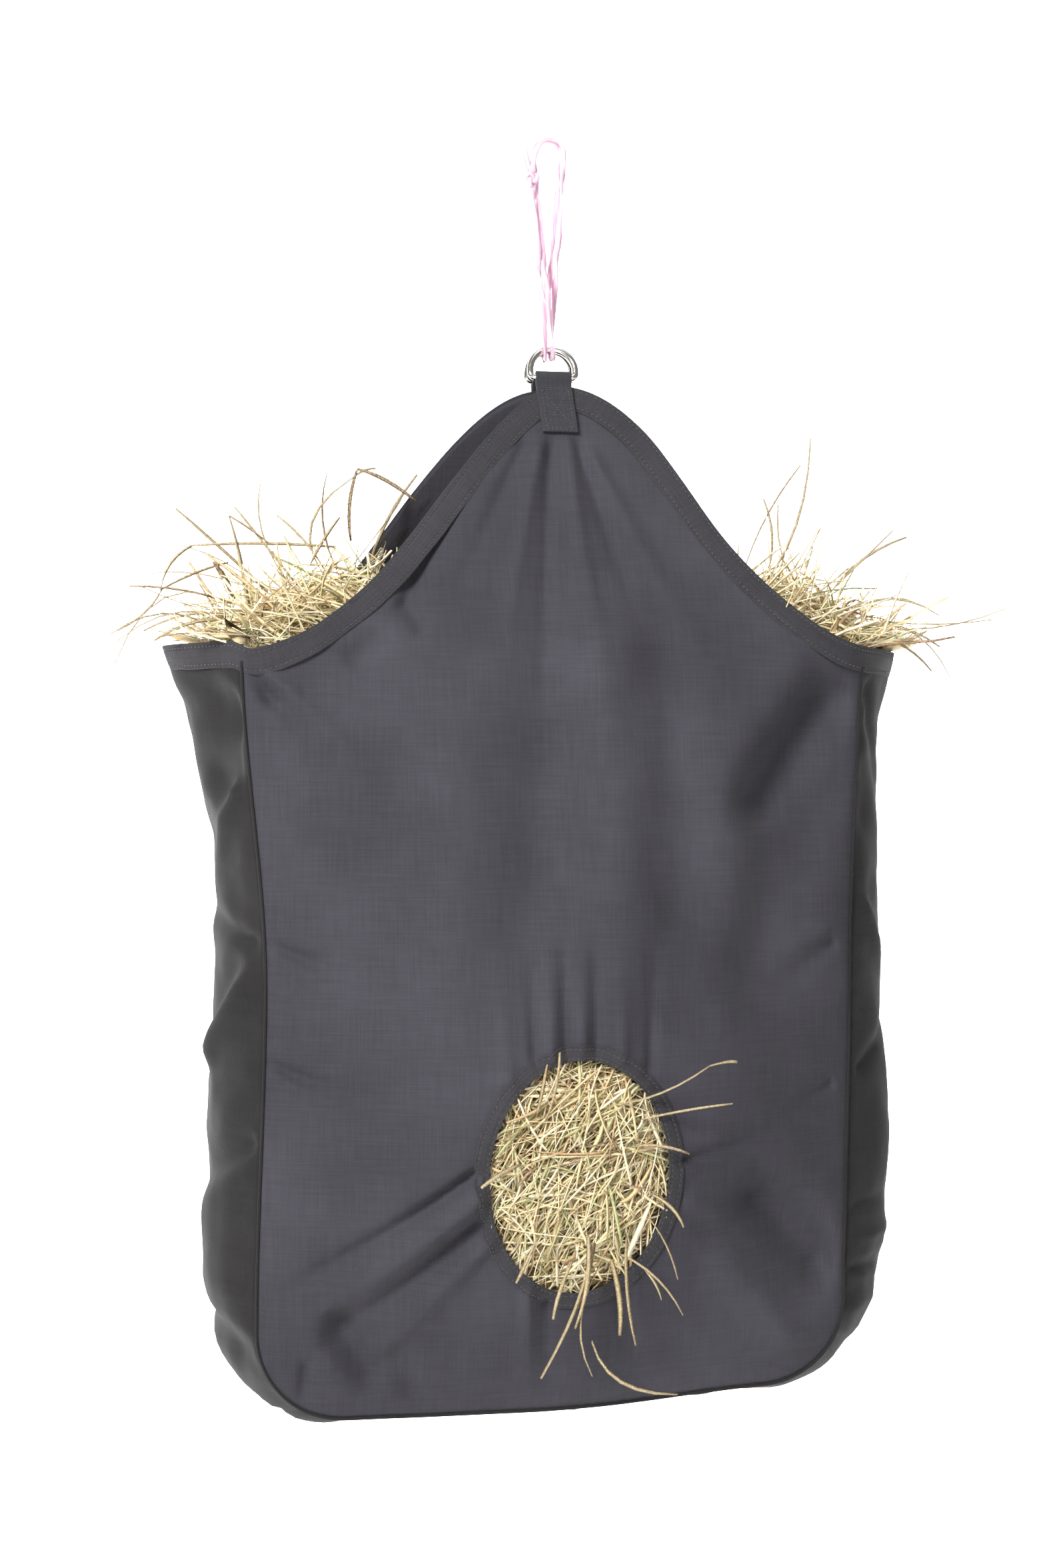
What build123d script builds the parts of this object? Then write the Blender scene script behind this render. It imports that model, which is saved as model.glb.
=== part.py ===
from build123d import *
import os
from math import asin, cos, degrees, hypot, pi, sin, sqrt, tan

# A stuffed hay bag that hangs from a doubled loop of baler twine. It is sewn from a front panel
# with a feed hole, a back panel and a gusset round the sides and the bottom. A wide binding runs
# round the open mouth, and a webbing tab on each panel carries a D-ring. The bag is full of hay.
#
# Frame, in millimetres: the origin is the top of the twine loop, where it lies on its hook.
# +Z is up, -Y is the front with the feed hole, and +X is to the right, seen from the front.

# --- Twine loop and D-rings ------------------------------------------------------------------
HOOK_TO_RING = 143.8           # top of the twine loop to the tops of the rings
HOOK_RADIUS = 9.0              # the round hook that the loop fits over
TWINE_DIAMETER = 3.8
KNOT_RADIUS = 5.6
TAIL_DIAMETER = 3.0
RING_WIRE = 4.8
RING_INNER_HEIGHT = 16.4
RING_CORNER_RADIUS = 3.2       # centre line of the wire at the two lower corners
RING_SIDE_CLEARANCE = 1.0      # webbing edge to ring leg
RING_GAP = 0.7                 # between the two rings where their tops meet on the twine
BAR_SPACING = 17.0             # between the straight bars of the front and the back ring

# --- Webbing tabs ----------------------------------------------------------------------------
WEBBING_WIDTH = 25.0
WEBBING_THICKNESS = 1.6
BAR_CLEARANCE = 0.3            # round the ring's bar, inside the webbing loop
TAB_LENGTH = 42.0              # ring bar to the tab's lower edge
STITCH_WIDTH = 0.8
STITCH_HEIGHT = 0.5
STITCH_INSET = 3.0             # stitch line to the edge of the tab

# --- Bag -------------------------------------------------------------------------------------
PANEL_WIDTH = 426.0            # seam to seam at the mouth
PANEL_HEIGHT = 699.0           # peak to bottom seam
MOUTH_RISE = 184.0             # side seams' tops to the peak
RING_TO_PEAK = 29.2            # top of the rings to the peak of the panels
WAIST = 9.0                    # how far the side seams draw in at mid height, each side
CORNER_RADIUS = 58.0           # the bag's two lower corners
GUSSET_DEPTH = 152.0           # seam to seam, front to back
CROWN = 44.0                   # how far each panel's belly stands out past its side seams
CROWN_SAG = 1.3                # above 1 puts the belly's fullest place lower down
MOUTH_FLARE = 45.0             # how far the hay pushes the gusset out at the mouth
WAIST_BULGE = 26.0
BELLY_BULGE = 38.0
BOTTOM_BULGE = 10.0
FABRIC_THICKNESS = 1.2
BINDING_THICKNESS = 2.4
BINDING_WIDTH = 18.0
SEWN_GAP = 0.3                 # between the webbing and what it is sewn to
MOUTH_STEPS = 10               # points of the mouth's edge on each side of its middle
MOUTH_OVERRUN = 2              # more of them past each side seam
STATIONS = 18                  # sections of the gusset on each side of the bag's middle

# --- Feed hole -------------------------------------------------------------------------------
HOLE_WIDTH = 120.0
HOLE_HEIGHT = 157.0
HOLE_ABOVE_SEAM = 161.0        # bottom seam to the hole's centre
HOLE_BINDING_WIDTH = 9.6

# --- Hay -------------------------------------------------------------------------------------
HAY_GAP = 4.0                  # between the packed hay and the cloth
POCKET_DEPTH = 8.0             # hay eaten back behind the edge of the feed hole
HAY_BELOW_MOUTH = 34.0         # side seams' tops to the top of the packed hay
HAY_FULLNESS = 2.2             # 2 makes each level slice an ellipse, more fills its corners
HAY_SECTIONS = 12
HAY_POINTS = 16                # points round each slice
HEAP_HEIGHT = 92.0
HEAP_LENGTH = 134.0            # along X
HEAP_DEPTH = 84.0              # along Y
HEAP_CENTRE = 180.0            # middle of the bag to the middle of each heap
HEAP_LEAN = 8.0                # top of each heap toward the middle of the bag
HEAP_TAPER = ((0, 1), (0.35, 0.97), (0.7, 0.72), (1, 0.22))  # share of height, share of size
STALK_DIAMETER = 2.4

# --- Sizes that follow -----------------------------------------------------------------------
half_width = PANEL_WIDTH / 2
half_depth = GUSSET_DEPTH / 2
binding_proud = (BINDING_THICKNESS - FABRIC_THICKNESS) / 2
ring_centre_width = WEBBING_WIDTH + 2 * RING_SIDE_CLEARANCE + RING_WIRE
ring_centre_height = RING_INNER_HEIGHT + RING_WIRE
ring_top_y = (RING_WIRE + RING_GAP) / 2
bar_y = BAR_SPACING / 2
ring_lean = asin((bar_y - ring_top_y) / ring_centre_height)
z_ring_top = -HOOK_TO_RING - RING_WIRE / 2
z_bar = z_ring_top - ring_centre_height * cos(ring_lean)
z_peak = -HOOK_TO_RING - RING_TO_PEAK
z_side = z_peak - MOUTH_RISE
z_seam = z_peak - PANEL_HEIGHT
z_corner = z_seam + CORNER_RADIUS
z_hole = z_seam + HOLE_ABOVE_SEAM
tab_stack = WEBBING_THICKNESS + SEWN_GAP + BINDING_THICKNESS - binding_proud
peak_depth = bar_y - tab_stack / cos(ring_lean) + tan(ring_lean) * (z_bar - z_peak)


def edge_depth(z):
    """Distance of a panel's side edge from the middle plane, at the height z."""
    if z <= z_side:
        return half_depth
    drop = (z_peak - z) / MOUTH_RISE
    start = tan(ring_lean) * MOUTH_RISE
    rest = half_depth - peak_depth - start
    return peak_depth + start * drop + rest * drop ** 2


def crown_depth(z):
    """How far the middle of a panel stands out past its side edges, at the height z."""
    top = z_side + MOUTH_RISE / 2
    drop = (top - z) / (top - z_seam)
    if drop <= 0 or drop >= 1:
        return 0.0
    return CROWN * sin(pi * drop ** CROWN_SAG)


def panel_depth(x, z):
    """Distance of a panel's inner face from the middle plane."""
    return edge_depth(z) + crown_depth(z) * (1 - (x / half_width) ** 2)


def band(points_a, points_b):
    """A closed flat face between two smooth lines that run side by side."""
    line_a = Spline(*points_a)
    line_b = Spline(*points_b)
    ends = [Line(line_a @ 0, line_b @ 0), Line(line_a @ 1, line_b @ 1)]
    return make_face([line_a, ends[1], line_b, ends[0]])


def panel_shell(near, far):
    """A bellied shell over the whole front, from near to far outside the panel's inner face."""
    reach = half_width + MOUTH_FLARE
    across = [-reach, -reach / 2, 0, reach / 2, reach]
    top = z_peak + BINDING_WIDTH / 2
    low = z_seam - BINDING_WIDTH / 2
    sections = []
    for step in range(STATIONS + 1):
        z = top + (low - top) * step / STATIONS
        inner = [(x, -panel_depth(x, z) - near, z) for x in across]
        outer = [(x, -panel_depth(x, z) - far, z) for x in across]
        sections.append(band(inner, outer))
    return loft(sections)


# --- The line where panels and gusset meet, from the left of the mouth round to the right ----
def eased(share, knots):
    """A value that passes smoothly through the knots, which are (share, value) pairs."""
    for (start, low), (end, high) in zip(knots, knots[1:]):
        if share <= end:
            along = (share - start) / (end - start)
            return low + (high - low) * (1 - cos(pi * along)) / 2
    return knots[-1][1]


def left_stations():
    """The left half of the seam as (x, z, outward x, outward z, bulge of the gusset there)."""
    side = z_side - z_corner
    arc = pi / 2 * CORNER_RADIUS
    corner_x = CORNER_RADIUS + WAIST - half_width
    total = side + arc - corner_x
    bulges = [(0, MOUTH_FLARE), (0.28 * side, WAIST_BULGE), (0.75 * side, BELLY_BULGE),
              (side, BELLY_BULGE), (side + 0.8 * arc, BOTTOM_BULGE), (total, BOTTOM_BULGE)]
    draws = [(0, -half_width), (side / 2, WAIST - half_width), (side, WAIST - half_width)]
    stations = []
    for step in range(STATIONS + 1):
        run = total * step / STATIONS
        bulge = eased(run, bulges)
        if run <= side:
            stations.append((eased(run, draws), z_side - run, -1.0, 0.0, bulge))
        elif run <= side + arc:
            angle = (run - side) / CORNER_RADIUS
            x = corner_x - CORNER_RADIUS * cos(angle)
            stations.append((x, z_corner - CORNER_RADIUS * sin(angle), -cos(angle), -sin(angle), bulge))
        else:
            stations.append((corner_x + run - side - arc, z_seam, 0.0, -1.0, bulge))
    return stations


def gusset_shell(near, far):
    """The left half of the bulging strip between the seams, from near to far outside the seam."""
    depth = half_depth - binding_proud
    sections = []
    for x, z, out_x, out_z, bulge in left_stations():
        rows = []
        for stand_off in (near, far):
            row = []
            for share in (-1, -0.5, 0, 0.5, 1):
                out = bulge * (1 - share ** 2) + stand_off
                row.append((x + out_x * out, share * depth, z + out_z * out))
            rows.append(row)
        sections.append(band(*rows))
    return loft(sections)


def mouth_line(inset):
    """The mouth's edge, seen from the front, moved into the panel by the inset."""
    points = []
    last = MOUTH_STEPS + MOUTH_OVERRUN
    for step in range(-last, last + 1):
        x = half_width * step / MOUTH_STEPS
        turn = min(1, abs(step) / MOUTH_STEPS)
        z = z_side + MOUTH_RISE * (1 + cos(pi * turn)) / 2
        slope = -MOUTH_RISE * pi / (2 * half_width) * sin(pi * turn) * (1 if step > 0 else -1)
        length = hypot(1, slope)
        points.append((x + slope / length * inset, z - inset / length))
    return Spline(*points)


def below_mouth(inset):
    """Everything lower than the inset mouth line, as a flat face in X and Z."""
    edge = mouth_line(inset)
    low = z_seam - CORNER_RADIUS
    start = edge @ 0
    end = edge @ 1
    base = Polyline((end.X, end.Y), (end.X, low), (start.X, low), (start.X, start.Y))
    return make_face([edge, base])


def panel_outline():
    """The panel's side and bottom seams, closed well above the peak."""
    left = [(x, z) for x, z, _, _, _ in left_stations()]
    right = [(-x, z) for x, z in reversed(left[:-1])]
    seam = Spline(*left, *right)
    top = z_peak + CORNER_RADIUS
    lid = Polyline((half_width, z_side), (half_width, top), (-half_width, top), (-half_width, z_side))
    return make_face([seam, lid])


def through_front(flat_face):
    """A prism on a flat face drawn in X and Z, from the middle plane out past the front."""
    facing = Plane(origin=(0, 0, 0), x_dir=(1, 0, 0), z_dir=(0, -1, 0))
    return extrude(facing * flat_face, amount=half_depth + CROWN * 2)


def hole_face(margin):
    """The feed hole's oval, grown by a margin."""
    return Pos(0, z_hole) * Ellipse(HOLE_WIDTH / 2 + margin, HOLE_HEIGHT / 2 + margin)


outline = panel_outline()
cloth_zone = outline & below_mouth(BINDING_WIDTH)
binding_zone = (outline & below_mouth(0)) - below_mouth(BINDING_WIDTH)


def slab(low, high):
    """Everything between two heights."""
    reach = PANEL_WIDTH + 2 * MOUTH_FLARE
    return Pos(0, 0, (low + high) / 2) * Box(2 * reach, 2 * reach, high - low)


def panels():
    """Front and back panels with their mouth binding, and the feed hole's own binding."""
    face = FABRIC_THICKNESS + binding_proud
    cloth = panel_shell(0, FABRIC_THICKNESS)
    folded = panel_shell(-binding_proud, face)
    raised = panel_shell(face, face + STITCH_HEIGHT)
    whole = cloth & through_front(cloth_zone)
    bound = folded & through_front(binding_zone)
    ring = hole_face(HOLE_BINDING_WIDTH) - hole_face(0)
    line = hole_face(HOLE_BINDING_WIDTH / 2 + STITCH_WIDTH) - hole_face(HOLE_BINDING_WIDTH / 2)
    return {
        "front_panel": whole - through_front(hole_face(HOLE_BINDING_WIDTH)),
        "back_panel": mirror(whole, about=Plane.XZ),
        "feed_hole_binding": folded & through_front(ring),
        "feed_hole_stitching": raised & through_front(line),
        "mouth_binding_front": bound,
        "mouth_binding_back": mirror(bound, about=Plane.XZ),
    }


def gussets():
    """The two gusset strips, which meet under the middle of the bag, and their mouth binding."""
    cloth = gusset_shell(-FABRIC_THICKNESS, 0) & slab(z_seam - CORNER_RADIUS, z_side - BINDING_WIDTH)
    folded = gusset_shell(-FABRIC_THICKNESS - binding_proud, binding_proud)
    bound = folded & slab(z_side - BINDING_WIDTH, z_side + BINDING_WIDTH)
    return {
        "gusset_left": cloth,
        "gusset_right": mirror(cloth, about=Plane.YZ),
        "mouth_binding_left": bound,
        "mouth_binding_right": mirror(bound, about=Plane.YZ),
    }


# --- Tabs and rings: drawn upright round the ring's bar, then leaned and put in place --------
def hung(part, side):
    """Leans a part that is drawn upright at the bar's axis, and puts it on its bar."""
    return Pos(0, side * bar_y, z_bar) * Rot(side * degrees(ring_lean), 0, 0) * part


def tab():
    """Webbing folded round the bar and laid double down the panel."""
    bore = RING_WIRE / 2 + BAR_CLEARANCE
    loop = Circle(bore + WEBBING_THICKNESS)
    legs = Pos(0, -TAB_LENGTH / 2) * Rectangle(2 * WEBBING_THICKNESS, TAB_LENGTH)
    profile = loop + legs - Circle(bore)
    side_on = Plane(origin=(0, 0, 0), x_dir=(0, 1, 0), z_dir=(1, 0, 0))
    return extrude(side_on * profile, amount=WEBBING_WIDTH / 2, both=True)


def tab_stitching(side):
    """A box stitch with a cross in it, on the outer face of the tab."""
    width = WEBBING_WIDTH - 2 * STITCH_INSET
    low = STITCH_INSET - TAB_LENGTH
    high = z_peak - z_bar - STITCH_INSET
    height = high - low
    box = Rectangle(width, height) - Rectangle(width - 2 * STITCH_WIDTH, height - 2 * STITCH_WIDTH)
    cross = degrees(asin(height / hypot(width, height)))
    arm = Rectangle(hypot(width, height) - 2 * STITCH_WIDTH, STITCH_WIDTH)
    pattern = box + Rot(0, 0, cross) * arm + Rot(0, 0, -cross) * arm
    pattern = pattern & Rectangle(width, height)
    facing = Plane(origin=(0, 0, 0), x_dir=(1, 0, 0), z_dir=(0, -1, 0))
    raised = extrude(facing * Pos(0, (low + high) / 2) * pattern, amount=STITCH_HEIGHT)
    if side > 0:
        raised = mirror(raised, about=Plane.XZ)
    return Pos(0, side * WEBBING_THICKNESS, 0) * raised


def d_ring():
    """Round wire bent to a D: a straight bar below and a half circle above."""
    half = ring_centre_width / 2
    corner = RING_CORNER_RADIUS
    leg_top = ring_centre_height - half
    diagonal = corner * (1 - sqrt(0.5))
    path = Wire([
        Line((-half + corner, 0), (half - corner, 0)),
        ThreePointArc((half - corner, 0), (half - diagonal, diagonal), (half, corner)),
        Line((half, corner), (half, leg_top)),
        ThreePointArc((half, leg_top), (0, ring_centre_height), (-half, leg_top)),
        Line((-half, leg_top), (-half, corner)),
        ThreePointArc((-half, corner), (-half + diagonal, diagonal), (-half + corner, 0)),
    ])
    section = Plane(origin=path @ 0, z_dir=path % 0) * Circle(RING_WIRE / 2)
    flat = sweep(section, path=path)
    return Rot(90, 0, 0) * flat


def hanging_gear():
    """Both tabs with their stitching, and both rings."""
    made = {}
    for name, side in (("front", -1), ("back", 1)):
        made[name + "_ring_tab"] = hung(tab(), side)
        made[name + "_tab_stitching"] = hung(tab_stitching(side), side)
        made[name + "_d_ring"] = hung(d_ring(), side)
    return made


# --- Twine: knot, down in front, under both rings, up behind, over the hook, and once more ---
TWINE_ROUTE = [
    (-13.6, -3.4, -31.0),
    (-5.0, -8.4, -152.4),
    (-4.6, 8.4, -152.4),
    (8.6, 2.9, 1.9),
    (-13.0, 2.9, 1.9),
    (0.4, -8.4, -152.4),
    (0.8, 8.4, -152.4),
    (9.4, -2.9, 1.9),
    (-12.6, -2.9, 1.9),
    (-14.4, -3.4, -23.0),
]
KNOT_PLACE = (-14.2, -3.4, -27.0)
TAILS = [((-15.4, -3.6, -23.0), (-18.2, -4.6, -4.0)), ((-16.6, -2.6, -23.5), (-20.4, -1.4, -7.5))]


def corner_radii():
    """Radius at each corner of the twine: round the rings' wire below, round the hook above."""
    under_ring = z_ring_top - TWINE_ROUTE[1][2]
    over_hook = HOOK_RADIUS + TWINE_DIAMETER / 2
    return [over_hook if z > -HOOK_TO_RING / 2 else under_ring for _, _, z in TWINE_ROUTE[1:-1]]


def twine():
    """The twine's tube, the knot that closes the loop, and its two cut tails."""
    radii = corner_radii()
    print("twine corner radii", [round(radius, 2) for radius in radii])
    path = FilletPolyline(*TWINE_ROUTE, radius=radii)
    section = Plane(origin=path @ 0, z_dir=path % 0) * Circle(TWINE_DIAMETER / 2)
    tube = sweep(section, path=path)
    area = pi * TWINE_DIAMETER ** 2 / 4
    print("twine length", round(path.length, 1), "volume share", round(tube.volume / (area * path.length), 4))
    knot = Pos(*KNOT_PLACE) * Sphere(KNOT_RADIUS)
    tails = [rod(low, high, TAIL_DIAMETER) - knot for low, high in TAILS]
    return {"twine_loop": tube, "twine_knot": knot, "twine_tails": Compound(children=tails)}


def rod(low, high, diameter):
    """A round stalk between two points."""
    line = Line(low, high)
    return sweep(Plane(origin=line @ 0, z_dir=line % 0) * Circle(diameter / 2), path=line)


# --- Hay -------------------------------------------------------------------------------------
def hay_section(z, half_x, half_y):
    """A level slice of packed hay: an oval with full corners."""
    power = 2 / HAY_FULLNESS
    points = []
    for step in range(HAY_POINTS):
        turn = 2 * pi * (step + 0.5) / HAY_POINTS
        along = abs(cos(turn)) ** power * (1 if cos(turn) > 0 else -1)
        across = abs(sin(turn)) ** power * (1 if sin(turn) > 0 else -1)
        points.append((half_x * along, half_y * across, z))
    return make_face(Spline(*points, periodic=True))


def packed_hay():
    """The hay inside the bag, a little smaller than the cloth round it."""
    low = z_seam + HAY_GAP
    top = z_side - HAY_BELOW_MOUTH
    straight = half_width - WAIST - CORNER_RADIUS
    round_part = CORNER_RADIUS + WAIST_BULGE - 2 * HAY_GAP
    sections = []
    for step in range(HAY_SECTIONS + 1):
        z = low + (top - low) * step / HAY_SECTIONS
        drop = max(0, z_corner - z) / (CORNER_RADIUS + HAY_GAP)
        half_x = straight + round_part * sqrt(1 - drop ** 2)
        half_y = (panel_depth(0, z) - HAY_GAP) * sqrt(1 - drop ** 2 / 3)
        sections.append(hay_section(z, half_x, half_y))
    floor = panel_depth(HOLE_WIDTH / 2, z_hole) - POCKET_DEPTH
    pocket = Pos(0, -floor, 0) * through_front(hole_face(HAY_GAP))
    return loft(sections) - pocket


def heap(sign):
    """The hay that stands up out of one end of the mouth."""
    low = z_side - HAY_BELOW_MOUTH + SEWN_GAP
    rings = []
    for rise, size in HEAP_TAPER:
        section = hay_section(0, HEAP_LENGTH / 2 * size, HEAP_DEPTH / 2 * size)
        rings.append(Pos(sign * (HEAP_CENTRE - HEAP_LEAN * rise), 0, low + HEAP_HEIGHT * rise) * section)
    return loft(rings)


STALKS_LEFT = [
    ((-230, -20, -330), (-311, -26, -367)),
    ((-226, -6, -324), (-293, -18, -318)),
    ((-208, 10, -306), (-262, 4, -262)),
    ((-186, -12, -304), (-205, -30, -248)),
    ((-160, 6, -306), (-141, -6, -240)),
    ((-132, 16, -318), (-92, 26, -232)),
    ((-222, 20, -330), (-284, 44, -344)),
]
STALKS_RIGHT = [
    ((226, -16, -326), (330, -22, -325)),
    ((230, -4, -322), (283, -30, -370)),
    ((208, 10, -306), (265, 12, -272)),
    ((160, -8, -306), (182, -24, -207)),
    ((186, 14, -303), (226, 30, -250)),
    ((226, 16, -332), (300, 40, -350)),
]
STALKS_HOLE = [
    ((26, -112, -672), (76, -137, -632)),
    ((32, -112, -692), (72, -136, -664)),
    ((2, -112, -762), (-27, -124, -832)),
    ((20, -112, -760), (62, -112, -854)),
    ((40, -112, -736), (64, -130, -788)),
    ((-34, -112, -702), (-74, -134, -716)),
]


def stalks(places):
    """Loose stalks as separate rods, each from a point in the hay to its tip."""
    return Compound(children=[rod(low, high, STALK_DIAMETER) for low, high in places])


def hay():
    """Packed hay, the two heaps in the mouth, and the loose stalks."""
    return {
        "hay_packed": packed_hay(),
        "hay_heap_left": heap(-1),
        "hay_heap_right": heap(1),
        "hay_stalks_left": stalks(STALKS_LEFT),
        "hay_stalks_right": stalks(STALKS_RIGHT),
        "hay_stalks_feed_hole": stalks(STALKS_HOLE),
    }


os.makedirs("parts", exist_ok=True)
for made in (panels(), gussets(), hanging_gear(), twine(), hay()):
    for node, shape in made.items():
        export_step(shape, "parts/" + node + ".step")
print("bar y, z", round(bar_y, 3), round(z_bar, 3), "ring top y, z", round(ring_top_y, 3), round(z_ring_top, 3))
print("follow ratio", round(ring_top_y / bar_y, 4), "lean", round(degrees(ring_lean), 2))
print("peak, side, seam, hole", z_peak, z_side, z_seam, z_hole, "peak depth", round(peak_depth, 2))
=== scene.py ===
"""Looks of a stuffed hay bag that hangs from a doubled loop of baler twine.

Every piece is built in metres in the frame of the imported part: the origin is the top of the twine
loop, +Z is up, -Y is the front with the feed hole. Working sizes below are in millimetres.
"""

import sys

import logging
import math
from dataclasses import dataclass, field
from enum import Enum
from typing import Callable, Optional, Sequence, Union

import bmesh
import bpy
import numpy as np
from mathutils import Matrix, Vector, noise


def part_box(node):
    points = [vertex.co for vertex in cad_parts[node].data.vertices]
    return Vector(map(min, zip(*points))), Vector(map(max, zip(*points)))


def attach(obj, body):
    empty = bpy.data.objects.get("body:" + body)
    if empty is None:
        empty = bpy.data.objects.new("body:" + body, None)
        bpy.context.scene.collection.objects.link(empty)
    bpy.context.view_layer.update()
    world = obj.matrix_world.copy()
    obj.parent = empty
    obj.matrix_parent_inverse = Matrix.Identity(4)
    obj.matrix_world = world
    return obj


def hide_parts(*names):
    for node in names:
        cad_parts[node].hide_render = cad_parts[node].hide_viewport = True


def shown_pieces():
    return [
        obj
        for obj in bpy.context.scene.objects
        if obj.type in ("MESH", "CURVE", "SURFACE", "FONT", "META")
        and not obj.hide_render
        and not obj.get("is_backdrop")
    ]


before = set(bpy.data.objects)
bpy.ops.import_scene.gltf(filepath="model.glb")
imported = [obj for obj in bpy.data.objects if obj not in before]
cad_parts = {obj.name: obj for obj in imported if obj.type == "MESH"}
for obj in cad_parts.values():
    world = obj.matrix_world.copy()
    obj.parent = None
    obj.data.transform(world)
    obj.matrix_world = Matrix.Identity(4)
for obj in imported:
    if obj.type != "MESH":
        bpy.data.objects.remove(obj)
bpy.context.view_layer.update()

MM = 0.001
SEED = 41
STITCH_RADIUS = 0.42
log = logging.getLogger("hay_bag")
Number = Union[int, float]
Pair = tuple[float, float]
Colour = tuple[float, float, float]


# --- Mesh tools --------------------------------------------------------------------------------
def unit(vectors: np.ndarray) -> np.ndarray:
    """Vectors along the last axis, each scaled to length 1."""
    return vectors / np.maximum(np.linalg.norm(vectors, axis=-1, keepdims=True), 1e-12)


def smooth_step(value: np.ndarray) -> np.ndarray:
    """0 below 0, 1 above 1 and a smooth rise between."""
    held = np.clip(value, 0.0, 1.0)
    return held * held * (3 - 2 * held)


def add_piece(name: str, bm: bmesh.types.BMesh, body: str, finish: bpy.types.Material,
              nodes: Sequence[str] = (), smooth: bool = True) -> bpy.types.Object:
    """Turns a bmesh into a piece that rides on a body.

    Args:
        name: the piece's name.
        bm: its mesh, which is freed.
        body: the CAD body that it rides on.
        finish: its material.
        nodes: the CAD nodes that it stands for.
        smooth: whether its faces are shaded smooth.

    Returns:
        The new object.
    """
    mesh = bpy.data.meshes.new(name)
    bm.to_mesh(mesh)
    bm.free()
    mesh.polygons.foreach_set("use_smooth", [smooth] * len(mesh.polygons))
    mesh.materials.append(finish)
    piece = bpy.data.objects.new(name, mesh)
    bpy.context.scene.collection.objects.link(piece)
    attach(piece, body)
    if nodes:
        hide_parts(*nodes)
    return piece


def grid_mesh(points: np.ndarray, uvs: np.ndarray, closed: bool = False,
              capped: bool = False, facing: Optional[Vector] = None,
              trim: Optional[Callable[[bmesh.types.BMesh], None]] = None) -> bmesh.types.BMesh:
    """A grid whose vertices are moved to rows of points.

    Args:
        points: rows x columns x 3, in metres.
        uvs: rows x columns x 2, in metres along and across.
        closed: whether edges that meet are welded and normals turned outwards.
        capped: whether the open ends are filled.
        facing: for an open sheet, the direction its faces look.
        trim: cuts the sheet before it is returned.

    Returns:
        The bmesh.
    """
    rows, columns = points.shape[:2]
    bm = bmesh.new()
    bmesh.ops.create_grid(bm, x_segments=rows - 1, y_segments=columns - 1, size=1.0)
    layer = bm.loops.layers.uv.new("UVMap")
    for vert in bm.verts:
        row = round((vert.co.x + 1) / 2 * (rows - 1))
        column = round((vert.co.y + 1) / 2 * (columns - 1))
        for loop in vert.link_loops:
            loop[layer].uv = uvs[row, column]
        vert.co = points[row, column]
    if closed:
        bmesh.ops.remove_doubles(bm, verts=bm.verts[:], dist=1e-6)
    if capped:
        bmesh.ops.holes_fill(bm, edges=[e for e in bm.edges if e.is_boundary], sides=0)
    if closed:
        bmesh.ops.recalc_face_normals(bm, faces=bm.faces[:])
    if trim:
        trim(bm)
    bm.normal_update()
    if facing is not None:
        total = sum((f.normal.dot(facing) * f.calc_area() for f in bm.faces), 0.0)
        if total < 0:
            bmesh.ops.reverse_faces(bm, faces=bm.faces[:])
    return bm


def repeat_mesh(template: bmesh.types.BMesh, places: np.ndarray) -> bmesh.types.BMesh:
    """Many copies of one small shape, each with its own vertex positions.

    Args:
        template: the shape, which is freed.
        places: copies x vertices x 3, in metres.

    Returns:
        One bmesh with all the copies.
    """
    pattern = bpy.data.meshes.new("pattern")
    template.to_mesh(pattern)
    template.free()
    bm = bmesh.new()
    for _ in range(len(places)):
        bm.from_mesh(pattern)
    bpy.data.meshes.remove(pattern)
    for vert, place in zip(bm.verts, places.reshape(-1, 3)):
        vert.co = place
    bm.normal_update()
    return bm


def add_solidify(piece: bpy.types.Object, thickness: float, offset: float = -1.0) -> None:
    """Gives a sheet its thickness, in millimetres, inwards from its face."""
    modifier = piece.modifiers.new("thickness", "SOLIDIFY")
    modifier.thickness = thickness * MM
    modifier.offset = offset
    modifier.use_even_offset = False


def stitches(name: str, rows: np.ndarray, radius: float, length: float, finish: bpy.types.Material,
             nodes: Sequence[str]) -> bpy.types.Object:
    """Small rounded stitches, each laid along its row."""
    bm = bmesh.new()
    bmesh.ops.create_icosphere(bm, subdivisions=1, radius=1.0)
    local = np.array([v.co for v in bm.verts], float)
    centre, tangent, out = rows[:, 0], unit(rows[:, 1]), unit(rows[:, 2])
    side = unit(np.cross(tangent, out))
    places = (centre[:, None] + local[None, :, :1] * tangent[:, None] * length / 2
              + local[None, :, 1:2] * side[:, None] * radius
              + local[None, :, 2:] * out[:, None] * radius * 0.8) * MM
    return add_piece(name, repeat_mesh(bm, places), "bag", finish, nodes)


def line_frames(path: np.ndarray, up: np.ndarray) -> tuple[np.ndarray, np.ndarray, np.ndarray]:
    """Tangent, side and normal along a path, with the normal kept near a given direction."""
    tangent = unit(np.gradient(path, axis=0))
    side = unit(np.cross(tangent, up))
    return tangent, side, unit(np.cross(side, tangent))


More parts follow.
